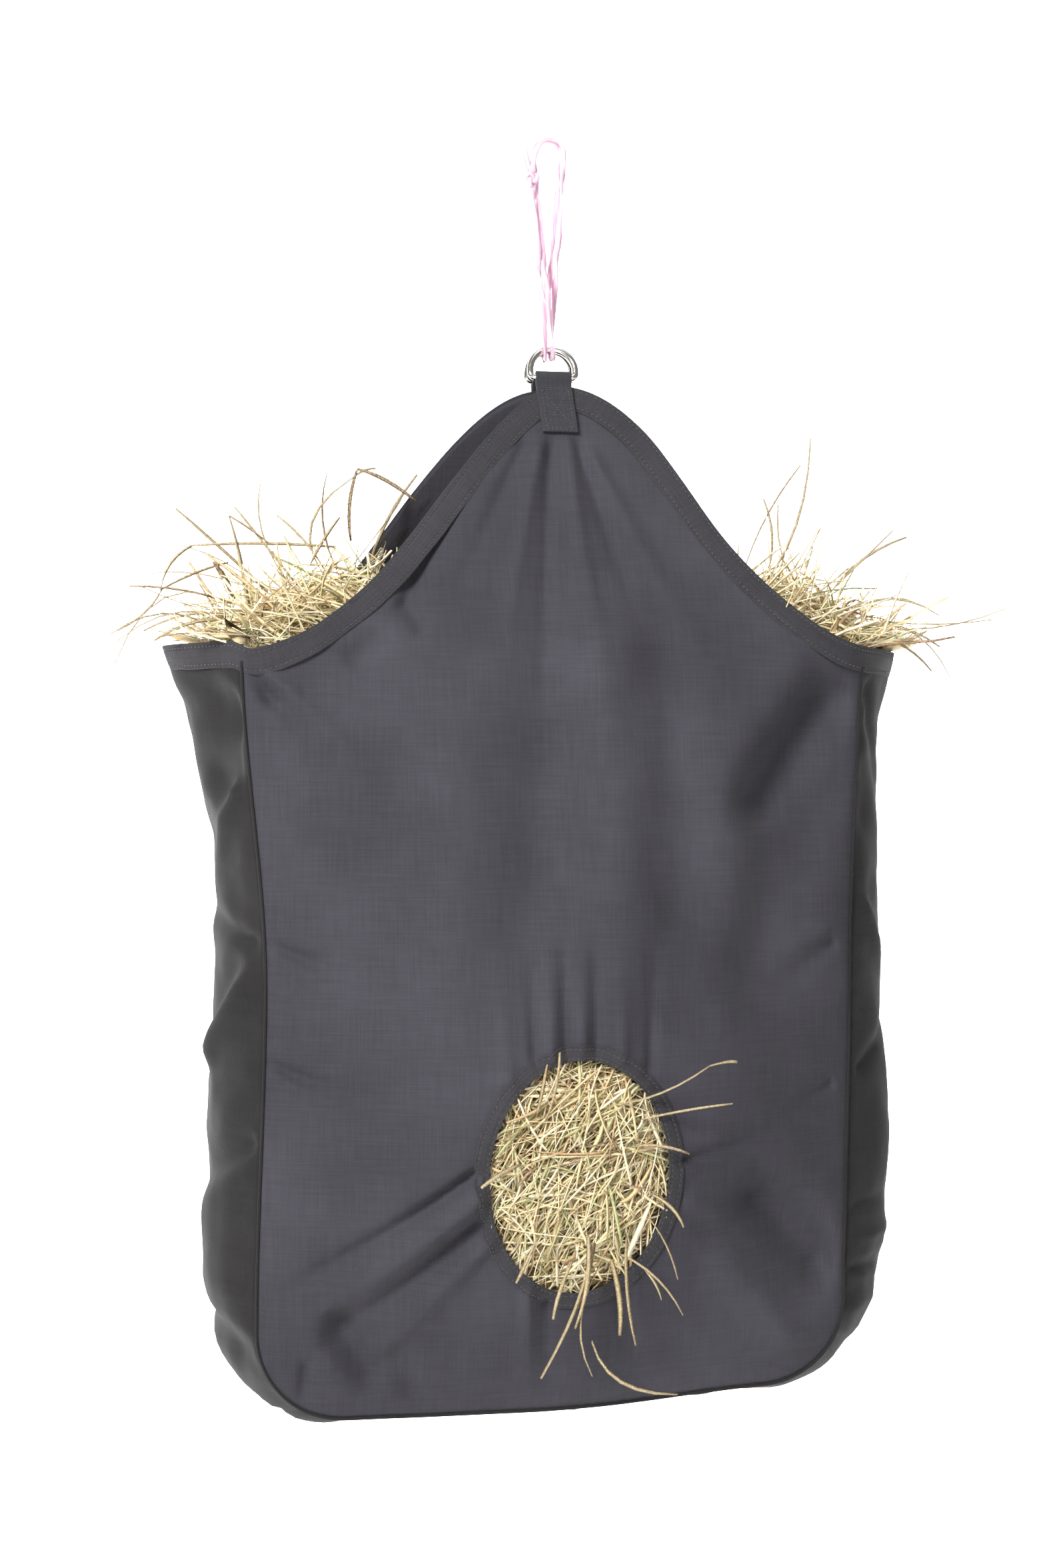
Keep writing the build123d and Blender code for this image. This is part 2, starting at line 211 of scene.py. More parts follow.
def tube_points(path: np.ndarray, side: np.ndarray, normal: np.ndarray, wide: np.ndarray,
                tall: np.ndarray, lobes: int, groove: float, twist: np.ndarray,
                segments: int) -> np.ndarray:
    """Rows of points round a path, for an oval and grooved section that turns along it.

    Args:
        path: points of the centre line.
        side: first direction of the section at each point.
        normal: second direction of the section.
        wide: half width of the section at each point.
        tall: half height of the section.
        lobes: number of grooves round it.
        groove: depth of the grooves as a share.
        twist: turn of the section at each point, in radians.
        segments: points round the section.

    Returns:
        Path points x (segments + 1) x 3.
    """
    angle = np.linspace(0, 2 * math.pi, segments + 1)
    reach = 1 - groove * (0.5 + 0.5 * np.cos(lobes * angle))
    first = wide[:, None] * reach * np.cos(angle)
    second = tall[:, None] * reach * np.sin(angle)
    turn_cos, turn_sin = np.cos(twist)[:, None], np.sin(twist)[:, None]
    along_side = first * turn_cos - second * turn_sin
    along_normal = first * turn_sin + second * turn_cos
    return path[:, None] + along_side[..., None] * side[:, None] + along_normal[..., None] * normal[:, None]


def run_uvs(points: np.ndarray) -> np.ndarray:
    """Lengths along and across a grid of points, as its UV map in metres."""
    along = np.linalg.norm(np.diff(points, axis=0), axis=-1).mean(axis=1)
    across = np.linalg.norm(np.diff(points, axis=1), axis=-1).mean(axis=0)
    u = np.concatenate([[0], np.cumsum(along)])
    v = np.concatenate([[0], np.cumsum(across)])
    return np.stack(np.broadcast_arrays(u[:, None], v[None, :]), axis=-1)


# --- Shader tools ------------------------------------------------------------------------------
class Signal:
    """A shader socket that Python expressions can be written with."""

    def __init__(self, maker: "Shader", socket: bpy.types.NodeSocket) -> None:
        """Wraps a socket of the maker's node tree."""
        self.maker = maker
        self.socket = socket

    def _math(self, operation: str, *values: "Signal | Number") -> "Signal":
        """A Math node on the values."""
        return self.maker.add("ShaderNodeMath", {"operation": operation}, dict(enumerate(values)))

    def __add__(self, other: "Signal | Number") -> "Signal":
        """self + other."""
        return self._math("ADD", self, other)

    def __mul__(self, other: "Signal | Number") -> "Signal":
        """self * other."""
        return self._math("MULTIPLY", self, other)

    def __sub__(self, other: "Signal | Number") -> "Signal":
        """self - other."""
        return self._math("SUBTRACT", self, other)

    def __rsub__(self, other: Number) -> "Signal":
        """other - self."""
        return self._math("SUBTRACT", other, self)

    __radd__ = __add__
    __rmul__ = __mul__

    def sine(self) -> "Signal":
        """The sine of an angle in radians."""
        return self._math("SINE", self)

    def power(self, exponent: Number) -> "Signal":
        """self raised to an exponent."""
        return self._math("POWER", self, exponent)

    def between(self, low: Number, high: Number) -> "Signal":
        """0 at low, 1 at high and a smooth rise between."""
        return self.maker.add("ShaderNodeMapRange", {"interpolation_type": "SMOOTHSTEP"},
                              {0: self, 1: low, 2: high, 3: 0.0, 4: 1.0})


class Shader:
    """Builds one material's node tree."""

    def __init__(self, name: str) -> None:
        """Starts a material with only its output and a Principled shader."""
        self.material = bpy.data.materials.new(name)
        self.material.use_nodes = True
        self.tree = self.material.node_tree
        self.tree.nodes.clear()
        self.out = self.tree.nodes.new("ShaderNodeOutputMaterial")
        self.body = self.tree.nodes.new("ShaderNodeBsdfPrincipled")
        self.tree.links.new(self.body.outputs[0], self.out.inputs["Surface"])

    def add(self, kind: str, settings: Optional[dict] = None, values: Optional[dict] = None,
            output: Union[int, str] = 0) -> Signal:
        """Adds a node.

        Args:
            kind: the node's type.
            settings: its properties, set first; "stops" fills a colour ramp.
            values: a number, tuple or Signal for each input, by index or name.
            output: which output is returned.

        Returns:
            The output as a Signal.
        """
        node = self.tree.nodes.new(kind)
        for key, value in (settings or {}).items():
            if key == "stops":
                ramp = node.color_ramp
                while len(ramp.elements) < len(value):
                    ramp.elements.new(0.5)
                for element, (place, colour) in zip(ramp.elements, value):
                    element.position = place
                    element.color = (*colour, 1.0)
            else:
                setattr(node, key, value)
        for key, value in (values or {}).items():
            socket = node.inputs[key]
            if isinstance(value, Signal):
                self.tree.links.new(value.socket, socket)
            else:
                socket.default_value = value
        return Signal(self, node.outputs[output])

    def surface_map(self) -> tuple[Signal, Signal, Signal]:
        """The piece's own UV map as a vector, and its two lengths in metres."""
        vector = self.add("ShaderNodeUVMap", {"uv_map": "UVMap"})
        split = self.add("ShaderNodeSeparateXYZ", values={0: vector}, output=0)
        second = Signal(self, split.socket.node.outputs[1])
        return vector, split, second

    def noise(self, vector: Signal, scale: float, detail: float = 3.0,
              stretch: Sequence[float] = (1, 1, 1)) -> Signal:
        """Noise on a vector that is stretched first."""
        placed = self.add("ShaderNodeMapping", values={"Vector": vector, "Scale": tuple(stretch)})
        return self.add("ShaderNodeTexNoise", values={"Vector": placed, "Scale": scale, "Detail": detail})

    def mix(self, share: "Signal | Number", low: "Signal | Colour", high: "Signal | Colour") -> Signal:
        """A colour between two colours."""
        node = self.tree.nodes.new("ShaderNodeMix")
        node.data_type = "RGBA"
        for index, value in ((0, share), (6, low), (7, high)):
            if isinstance(value, Signal):
                self.tree.links.new(value.socket, node.inputs[index])
            else:
                node.inputs[index].default_value = value if index == 0 else (*value, 1.0)
        return Signal(self, node.outputs[2])

    def bump(self, height: Signal, distance: float, strength: float = 1.0,
             under: Optional[Signal] = None) -> Signal:
        """A normal from a height, over another normal if one is given."""
        values = {"Height": height, "Distance": distance, "Strength": strength}
        if under is not None:
            values["Normal"] = under
        return self.add("ShaderNodeBump", values=values)

    def finish(self, constants: dict, links: dict) -> bpy.types.Material:
        """Sets the shader's own numbers and links what varies over the surface."""
        for key, value in constants.items():
            self.body.inputs[key].default_value = value
        for key, signal in links.items():
            self.tree.links.new(signal.socket, self.body.inputs[key])
        return self.material


def linear(red: Number, green: Number, blue: Number) -> Colour:
    """A linear colour from display values of 0 to 255."""
    return tuple(v / 255 / 12.92 if v <= 10 else ((v / 255 + 0.055) / 1.055) ** 2.4
                 for v in (red, green, blue))


@dataclass(frozen=True)
class WovenFinish:
    """Charcoal woven cloth or tape, with its threads running along and across the UV map."""

    name: str
    shade: Colour
    dusty: Colour
    pitch: float = 0.9
    twill: float = 0.0
    thread_depth: float = 0.00018
    roughness: float = 0.80
    sheen: float = 0.07

    def material(self) -> bpy.types.Material:
        """The finish as a material."""
        shader = Shader(self.name)
        vector, u, v = shader.surface_map()
        turn = 2 * math.pi / (self.pitch * MM)
        if self.twill:
            rib = ((u + v * self.twill) * turn).sine() * 0.5 + 0.5
            cross = (v * (turn * 0.5)).sine() * 0.5 + 0.5
            weave = rib * 0.75 + cross * 0.25
        else:
            weave = ((u * turn).sine() * (v * turn).sine()) * 0.5 + 0.5
        slub_along = shader.noise(vector, 900, 2, (1, 0.03, 1))
        slub_across = shader.noise(vector, 900, 2, (0.03, 1, 1))
        slubs = slub_along * 0.5 + slub_across * 0.5
        cloud = shader.noise(vector, 9, 4)
        lint = shader.noise(vector, 900, 1).between(0.74, 0.82)
        share = slubs.between(0.3, 0.7) * 0.30 + cloud.between(0.3, 0.75) * 0.40 + weave * 0.30
        colour = shader.mix(share, self.shade, self.dusty)
        colour = shader.mix(lint * 0.10, colour, linear(150, 148, 145))
        creases = shader.bump(shader.noise(vector, 45, 4), 0.0008, 0.5)
        normal = shader.bump(weave + slubs * 0.5, self.thread_depth, 0.8, creases)
        rough = cloud * 0.12 + (self.roughness - 0.06)
        return shader.finish(
            {"Sheen Weight": self.sheen, "Sheen Roughness": 0.45, "Specular IOR Level": 0.2},
            {"Base Color": colour, "Normal": normal, "Roughness": rough})


@dataclass(frozen=True)
class ThreadFinish:
    """Dark sewing thread, twisted."""

    name: str = "sewing_thread"
    shade: Colour = linear(24, 24, 27)
    lit: Colour = linear(52, 52, 58)

    def material(self) -> bpy.types.Material:
        """The finish as a material."""
        shader = Shader(self.name)
        place = shader.add("ShaderNodeTexCoord", output="Object")
        fibre = shader.noise(place, 1400, 2)
        normal = shader.bump(fibre, 0.0001, 0.8)
        return shader.finish({"Roughness": 0.55, "Sheen Weight": 0.3},
                             {"Base Color": shader.mix(fibre.between(0.35, 0.65), self.shade, self.lit),
                              "Normal": normal})


@dataclass(frozen=True)
class MetalFinish:
    """Polished nickel-plated wire with fine scratches and a little dulling."""

    name: str = "nickel_wire"
    bright: Colour = (0.80, 0.78, 0.73)
    dull: Colour = (0.46, 0.42, 0.34)

    def material(self) -> bpy.types.Material:
        """The finish as a material."""
        shader = Shader(self.name)
        place = shader.add("ShaderNodeTexCoord", output="Object")
        worn = shader.noise(place, 160, 5).between(0.5, 0.75)
        scratch = shader.noise(place, 900, 2, (1, 1, 0.06))
        normal = shader.bump(scratch, 0.00005, 0.25)
        return shader.finish({"Metallic": 1.0},
                             {"Base Color": shader.mix(worn * 0.5, self.bright, self.dull),
                              "Roughness": worn * 0.14 + scratch * 0.08 + 0.10, "Normal": normal})


@dataclass(frozen=True)
class TwineFinish:
    """Pale pink split-film twine with fine lengthwise fibres."""

    name: str = "pink_twine"
    pale: Colour = linear(228, 192, 210)
    deep: Colour = linear(176, 96, 144)

    def material(self) -> bpy.types.Material:
        """The finish as a material."""
        shader = Shader(self.name)
        vector, _, _ = shader.surface_map()
        fibres = shader.noise(vector, 700, 3, (0.04, 1, 1))
        patches = shader.noise(vector, 60, 3, (0.4, 1, 1)).between(0.5, 0.72)
        share = fibres.between(0.46, 0.7) * 0.55 + patches * 0.45
        normal = shader.bump(fibres, 0.0004, 0.9)
        return shader.finish({"Roughness": 0.38, "Subsurface Weight": 0.15, "Subsurface Scale": 0.002,
                              "Sheen Weight": 0.2},
                             {"Base Color": shader.mix(share, self.pale, self.deep), "Normal": normal})


@dataclass(frozen=True)
class HayFinish:
    """Dry hay: each blade has its own shade from brown through straw to pale green."""

    name: str = "dry_hay"
    # dim scales every colour down; the core's copy uses it for painted shade.
    dim: float = 1.0

    def material(self) -> bpy.types.Material:
        """The finish as a material."""
        shader = Shader(self.name)
        shade = shader.add("ShaderNodeAttribute", {"attribute_name": "shade"}, output="Fac")
        place = shader.add("ShaderNodeTexCoord", output="Object")
        stops = [(0.0, linear(118, 84, 58)), (0.10, linear(172, 138, 98)), (0.24, linear(214, 186, 136)),
                 (0.50, linear(238, 219, 172)), (0.74, linear(247, 237, 206)), (0.86, linear(200, 198, 146)),
                 (1.0, linear(160, 164, 108))]
        stops = [(at, tuple(c * self.dim for c in colour)) for at, colour in stops]
        base = shader.add("ShaderNodeValToRGB", {"stops": stops}, {0: shade})
        stain = shader.noise(place, 120, 4).between(0.56, 0.74)
        streak = shader.noise(place, 900, 2)
        colour = shader.mix(stain * 0.5, base, linear(150, 118, 74))
        colour = shader.mix(streak.between(0.4, 0.7) * 0.35, colour, linear(246, 236, 204))
        normal = shader.bump(streak, 0.0004, 0.7)
        return shader.finish({"Specular IOR Level": 0.3},
                             {"Base Color": colour, "Normal": normal, "Roughness": streak * 0.25 + 0.45})


@dataclass(frozen=True)
class StudioFinish:
    """Plain pale floor and wall."""

    name: str = "studio_paper"
    colour: Colour = (0.93, 0.93, 0.93)

    def material(self) -> bpy.types.Material:
        """The finish as a material."""
        shader = Shader(self.name)
        return shader.finish({"Base Color": (*self.colour, 1.0), "Roughness": 0.95,
                              "Specular IOR Level": 0.1}, {})


# --- Studio ------------------------------------------------------------------------------------
@dataclass
class Studio:
    """Camera, lights, and a pale floor that curves up into a wall."""

    azimuth: float = -9.0
    distance: float = 1.600
    look_right: float = -0.0202
    look_z: float = -0.4519
    field_of_view: float = 38.13
    floor_z: float = -1.60
    floor_reach: float = 5.0
    wall_back: float = 2.6
    wall_height: float = 5.0

    def build(self) -> None:
        """Makes the camera, the stage, the world and the lights."""
        self.camera()
        self.stage()
        self.world()
        self.light("key", (-1.6, -2.1, 0.85), (0, 0, -0.5), 1.0, 128)
        self.light("fill", (0.2, -2.7, -0.2), (0, 0, -0.55), 1.4, 16)
        self.light("top", (0.1, -0.5, 1.5), (0, 0, -0.4), 1.2, 8)
        self.light("rear", (0.9, 1.9, 0.9), (0, 0, -0.4), 1.5, 26)
        self.light("wall_left", (-1.6, 1.0, -0.2), (-0.9, 3.4, -0.5), 1.6, 150)
        self.light("wall_right", (1.6, 1.0, -0.2), (0.9, 3.4, -0.5), 1.6, 150)

    def camera(self) -> None:
        """A camera that looks level at the hanging axis, a little from the left."""
        turn = math.radians(self.azimuth)
        right = Vector((math.cos(turn), math.sin(turn), 0))
        ahead = Vector((-math.sin(turn), math.cos(turn), 0))
        data = bpy.data.cameras.new("camera")
        data.sensor_fit = "VERTICAL"
        data.angle = math.radians(self.field_of_view)
        camera = bpy.data.objects.new("camera", data)
        camera.location = right * self.look_right - ahead * self.distance + Vector((0, 0, self.look_z))
        camera.rotation_euler = ahead.to_track_quat("-Z", "Y").to_euler()
        bpy.context.scene.collection.objects.link(camera)
        bpy.context.scene.camera = camera

    def stage(self) -> None:
        """The floor and the wall behind, joined by a wide curve."""
        bm = bmesh.new()
        bmesh.ops.create_grid(bm, x_segments=1, y_segments=1, size=self.floor_reach)
        bmesh.ops.translate(bm, verts=bm.verts[:],
                            vec=(0, self.wall_back - self.floor_reach, self.floor_z))
        back = [e for e in bm.edges if all(v.co.y > self.wall_back - 0.01 for v in e.verts)]
        raised = bmesh.ops.extrude_edge_only(bm, edges=back)["geom"]
        bmesh.ops.translate(bm, verts=[g for g in raised if isinstance(g, bmesh.types.BMVert)],
                            vec=(0, 0, self.wall_height))
        bmesh.ops.bevel(bm, geom=back, offset=1.2, segments=16, profile=0.5, affect="EDGES", material=-1)
        mesh = bpy.data.meshes.new("studio_floor")
        bmesh.ops.recalc_face_normals(bm, faces=bm.faces[:])
        bm.to_mesh(mesh)
        bm.free()
        mesh.polygons.foreach_set("use_smooth", [True] * len(mesh.polygons))
        mesh.materials.append(StudioFinish().material())
        floor = bpy.data.objects.new("studio_floor", mesh)
        bpy.context.scene.collection.objects.link(floor)
        floor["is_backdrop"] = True

    def world(self) -> None:
        """Even pale light from all round."""
        world = bpy.data.worlds.new("studio")
        world.use_nodes = True
        background = world.node_tree.nodes["Background"]
        background.inputs["Color"].default_value = (1.0, 1.0, 1.0, 1.0)
        background.inputs["Strength"].default_value = 0.22
        bpy.context.scene.world = world
        bpy.context.scene.view_settings.view_transform = "Standard"

    def light(self, name: str, place: Sequence[float], target: Sequence[float], size: float,
              watts: float) -> None:
        """A square soft light that faces a target."""
        data = bpy.data.lights.new(name, "AREA")
        data.size = size
        data.energy = watts
        lamp = bpy.data.objects.new(name, data)
        lamp.location = place
        lamp.rotation_euler = (Vector(target) - Vector(place)).to_track_quat("-Z", "Y").to_euler()
        bpy.context.scene.collection.objects.link(lamp)


# --- Twine -------------------------------------------------------------------------------------
@dataclass
class TwineLoop:
    """Doubled loop of baler twine with its knot and frayed tails."""

    width: float = 4.7
    height: float = 2.4
    lay: float = 46.0
    length: float = 0.661
    diameter: float = 0.0038
    fibres: int = 7
    route: tuple = (
        (-13.6, -3.4, -31.0), (-12.4, -3.8, -52.0), (-6.3, -7.6, -128.0), (-5.0, -8.4, -152.4),
        (-4.6, 8.4, -152.4), (-3.0, 7.6, -130.0), (5.8, 4.0, -24.0), (8.6, 2.9, 1.9),
        (-13.0, 2.9, 1.9), (-11.4, 1.4, -22.0), (-1.6, -6.8, -128.0), (0.4, -8.4, -152.4),
        (0.8, 8.4, -152.4), (2.0, 7.0, -130.0), (8.0, -1.4, -22.0), (9.4, -2.9, 1.9),
        (-12.6, -2.9, 1.9), (-14.4, -3.4, -23.0))
    knot: tuple = (-14.2, -3.4, -27.0)
    tails: tuple = (((-15.4, -3.6, -23.0), (-18.2, -4.6, -4.0)), ((-16.6, -2.6, -23.5), (-20.4, -1.4, -7.5)))

    def build(self, finish: bpy.types.Material) -> None:
        path = self.centre_line()
        loop = self.strand("twine_strand", path, self.width / 2, self.height / 2, finish, ["twine_loop"])
        knot = self.overhand(finish)
        tails = self.frayed(finish)

    def centre_line(self) -> np.ndarray:
        """Points read from the route's own NURBS spline, in metres."""
        curve = bpy.data.curves.new("twine_route", "CURVE")
        curve.dimensions = "3D"
        curve.resolution_u = 14
        spline = curve.splines.new("NURBS")
        spline.points.add(len(self.route) - 1)
        for point, place in zip(spline.points, self.route):
            point.co = (*(v * MM for v in place), 1.0)
        spline.order_u = 3
        spline.use_endpoint_u = True
        holder = bpy.data.objects.new("twine_route", curve)
        mesh = bpy.data.meshes.new_from_object(holder)
        path = np.array([v.co for v in mesh.vertices], float)
        bpy.data.meshes.remove(mesh)
        bpy.data.objects.remove(holder)
        bpy.data.curves.remove(curve)
        return path

    def strand(self, name: str, path: np.ndarray, wide: float, tall: float, finish: bpy.types.Material,
               nodes: Sequence[str], closed: bool = False) -> bpy.types.Object:
        """A flat grooved strand along a path in metres; wide and tall are half sizes in millimetres."""
        _, side, normal = line_frames(path, np.array([0.0, 1.0, 0.12]))
        run = np.concatenate([[0], np.cumsum(np.linalg.norm(np.diff(path, axis=0), axis=1))])
        twist = run / (self.lay * MM) * 2 * math.pi * 0.5 + 0.5 * np.sin(run * 95)
        swell = 1 + 0.10 * np.sin(run * 310) + 0.06 * np.sin(run * 733 + 1)
        points = tube_points(path, side, normal, wide * MM * swell, tall * MM / swell, 5, 0.16, twist, 20)
        if closed:
            points[-1] = points[0]
        bm = grid_mesh(points, run_uvs(points), closed=True, capped=not closed)
        return add_piece(name, bm, "twine", finish, nodes)

    def overhand(self, finish: bpy.types.Material) -> bpy.types.Object:
        """The knot: two crossing wraps of the strand, pulled tight."""
        turn = np.linspace(0, 2 * math.pi, 121)
        size = 1.75
        local = np.stack([(np.sin(turn) + 2 * np.sin(2 * turn)) * size * 0.78, -np.sin(3 * turn) * size * 0.9,
                          (np.cos(turn) - 2 * np.cos(2 * turn)) * size], axis=1)
        path = (local + np.array(self.knot)) * MM
        _, side, normal = line_frames(path, np.array([0.3, 1.0, 0.2]))
        run = np.concatenate([[0], np.cumsum(np.linalg.norm(np.diff(path, axis=0), axis=1))])
        flat = np.full(len(path), 1.7 * MM)
        points = tube_points(path, side, normal, flat, flat * 0.75, 5, 0.14, run * 0, 16)
        points[-1] = points[0]
        bm = grid_mesh(points, run_uvs(points), closed=True)
        return add_piece("twine_knot_wraps", bm, "twine", finish, ["twine_knot"])

    def frayed(self, finish: bpy.types.Material) -> bpy.types.Object:
        """Two cut tails, each a bundle of fibres that spread at the tip."""
        rng = np.random.default_rng(SEED)
        whole = bmesh.new()
        for start, end in self.tails:
            for _ in range(self.fibres):
                spread = rng.normal(0, 1, 3) * (0.9, 0.5, 0.8)
                share = np.linspace(0, 1, 9)[:, None]
                line = np.array(start) * (1 - share) + np.array(end) * share
                line = line + spread * share ** 2 + rng.normal(0, 0.3, 3)
                path = line * MM
                _, side, normal = line_frames(path, np.array([0.1, 1.0, 0.1]))
                thin = 0.45 * MM * (1 - 0.5 * share[:, 0])
                points = tube_points(path, side, normal, thin * 1.5, thin * 0.7, 2, 0.1, share[:, 0] * 2, 6)
                part = grid_mesh(points, run_uvs(points), closed=True, capped=True)
                mesh = bpy.data.meshes.new("fibre")
                part.to_mesh(mesh)
                part.free()
                whole.from_mesh(mesh)
                bpy.data.meshes.remove(mesh)
        return add_piece("twine_tail_fibres", whole, "twine", finish, ["twine_tails"])


# --- Cloth -------------------------------------------------------------------------------------
class Taper(Enum):
    """Where a fold is strongest."""

    BOTH = "fades at both ends"
    START = "strong at its start"
    END = "strong at its end"


@dataclass(frozen=True)
class Fold:
    """A ridge, or a valley where its height is negative, between two points of a cloth surface."""

    start: Pair
    end: Pair
    width: float
    height: float
    taper: Taper = Taper.BOTH
    roll: float = 0.0
    bow: float = 0.0

    def relief(self, u: np.ndarray, v: np.ndarray) -> np.ndarray:
        """Height that the fold adds at points of the surface.

        Args:
            u: first coordinate in millimetres.
            v: second coordinate.

        Returns:
            Heights in millimetres.
        """
        du, dv = self.end[0] - self.start[0], self.end[1] - self.start[1]
        length = math.hypot(du, dv)
        du, dv = du / length, dv / length
        along = ((u - self.start[0]) * du + (v - self.start[1]) * dv) / length
        off = (u - self.start[0]) * dv - (v - self.start[1]) * du
        held = np.clip(along, 0, 1)
        off = off - self.bow * 4 * held * (1 - held)
        grow = 0.55 + 0.45 * (held if self.taper is Taper.START
                              else 1 - held if self.taper is Taper.END else 1)
        width = self.width * grow
        shape = np.exp(-(off / width) ** 2)
        if self.roll:
            side = math.copysign(1.7, self.roll)
            shape = shape - abs(self.roll) * np.exp(-((off / width - side) ** 2))
        rise, fall = smooth_step((along + 0.12) / 0.3), smooth_step((1.12 - along) / 0.3)
        if self.taper is Taper.START:
            rise, fall = smooth_step((along + 0.05) / 0.08), np.clip(1.05 - along, 0, 1) ** 0.9
        if self.taper is Taper.END:
            rise, fall = np.clip(along + 0.05, 0, 1) ** 0.9, smooth_step((1.05 - along) / 0.08)
        return self.height * shape * rise * fall


FRONT_FOLDS = (
    # fan below the tab
    Fold((-12, -214), (-48, -372), 7, 3.6, Taper.START),
    Fold((-3, -216), (-24, -404), 6, -3.6, Taper.START),
    Fold((8, -214), (20, -430), 8, 3.4, Taper.START),
    Fold((16, -214), (48, -350), 6, -3.2, Taper.START),
    Fold((24, -222), (92, -372), 9, 2.8, Taper.START),
    Fold((-22, -214), (-78, -330), 7, -2.6, Taper.START),
    # long soft hollows down the middle
    Fold((-6, -300), (-36, -566), 22, -4.6),
    Fold((24, -330), (30, -560), 20, 3.6),
    Fold((62, -330), (70, -560), 18, -3.0),
    Fold((-84, -380), (-78, -600), 30, 3.6),
    Fold((112, -400), (92, -640), 24, 3.0),
    # fold along the left of the mouth, with its hooked end
    Fold((-36, -206), (-112, -332), 8, -5.2, roll=0.7, bow=6),
    Fold((-112, -328), (-98, -352), 6, -4.4),
    Fold((-124, -352), (-150, -372), 10, -3.0),
    # side seams' tops
    Fold((-213, -380), (-146, -452), 9, -6.2, Taper.START, roll=-0.6),
    Fold((-196, -400), (-120, -470), 16, 3.4, Taper.START),
    Fold((192, -380), (118, -480), 19, -13.0, roll=0.3),
    Fold((176, -440), (112, -590), 26, -5.0),
    # drawn in above the feed hole
    Fold((-34, -560), (-31, -632), 5, -3.8, Taper.END),
    Fold((-21, -556), (-21, -632), 5, 3.2, Taper.END),
    Fold((-12, -548), (-10, -632), 4.5, -4.4, Taper.END),
    Fold((0, -560), (-1, -632), 5, 3.0, Taper.END),
    Fold((10, -556), (9, -632), 4.5, -4.2, Taper.END),
    Fold((28, -560), (26, -634), 8, 3.0, Taper.END),
    Fold((49, -560), (46, -642), 6, -3.8, Taper.END),
    Fold((-56, -560), (-48, -648), 9, 2.4, Taper.END),
    # from the feed hole to the lower left
    Fold((-68, -706), (-206, -792), 7, -6.4, Taper.START, roll=-0.3, bow=-4),
    Fold((-66, -722), (-200, -818), 9, 6.2, Taper.START, bow=-4),
    Fold((-64, -740), (-186, -836), 8, -7.2, Taper.START, bow=-3),
    Fold((-60, -752), (-150, -850), 10, 4.4, Taper.START),
    Fold((-160, -800), (-130, -846), 12, -7.0, roll=0.4),
    Fold((-177, -832), (-180, -862), 4, -3.6),
    Fold((-120, -822), (-104, -862), 9, -4.0),
    # under and right of the feed hole
    Fold((-33, -786), (-31, -858), 6, 4.4, Taper.START),
    Fold((-20, -790), (-16, -856), 6, -4.0, Taper.START),
    Fold((30, -788), (44, -850), 9, -3.0, Taper.START),
    Fold((70, -704), (140, -690), 6, -4.0, Taper.START, roll=0.5),
    Fold((74, -732), (150, -760), 12, 3.6, Taper.START),
    Fold((118, -726), (188, -800), 19, -12.0, roll=-0.3),
    Fold((96, -770), (160, -846), 14, 4.6),
    # pinches at the side seams
    Fold((-205, -556), (-150, -578), 6, -4.6, Taper.START, roll=0.4),
    Fold((-205, -606), (-158, -610), 8, 2.6, Taper.START),
    Fold((-203, -636), (-136, -660), 7, -5.0, Taper.START, roll=0.4),
    Fold((-205, -470), (-160, -500), 12, 2.4, Taper.START),
    Fold((186, -560), (126, -600), 12, -3.4, Taper.START, roll=0.4),
    Fold((186, -660), (140, -676), 9, -3.0, Taper.START),
)

BACK_FOLDS = (
    Fold((12, -214), (46, -372), 7, 3.6, Taper.START),
    Fold((0, -216), (16, -400), 6, -3.6, Taper.START),
    Fold((-12, -214), (-44, -372), 7, 3.2, Taper.START),
    Fold((-24, -222), (-92, -360), 8, -3.0, Taper.START),
    Fold((-20, -330), (-40, -600), 26, -4.4),
    Fold((60, -400), (48, -680), 30, 4.4),
    Fold((-204, -384), (-128, -480), 12, -7.0, Taper.START, roll=0.4),
    Fold((204, -384), (120, -486), 14, -7.6, Taper.START, roll=-0.4),
    Fold((-200, -600), (-128, -640), 9, -4.4, Taper.START),
    Fold((202, -560), (132, -590), 9, -4.4, Taper.START, roll=0.4),
    Fold((-190, -830), (-60, -720), 14, -5.6, Taper.START, roll=0.4),
    Fold((190, -836), (70, -750), 14, -5.8, Taper.START, roll=-0.4),
    Fold((0, -860), (10, -760), 10, -3.6, Taper.START),
)


@dataclass(frozen=True)
class Face:
    """What differs between the front and the back panel."""

    sign: int
    mouth_x: tuple
    mouth_shift: tuple
    half_widths: tuple
    lift: float
    folds: tuple
    offset: float
    turn_away: float


FRONT = Face(
    -1,
    (-213, -192, -154, -127, -98, -67, -37, -12, 0, 18, 44, 68, 81, 97, 112, 134, 162, 190, 213),
    (-6, -4, -10, -18, -21, -20, -13, -3, 0, 2, 5, 6, 2, -3, -8, -7, -2, 0, 0),
    ((219, 203, 209), (207, 199, 195)), 9.0, FRONT_FOLDS, 0.0, 13.0)
BACK = Face(
    1, (-213, -100, 0, 100, 213), (0, 5, 0, 4, 0), ((213, 204, 204), (213, 204, 204)), 0.0,
    BACK_FOLDS, 53.0, 0.0)


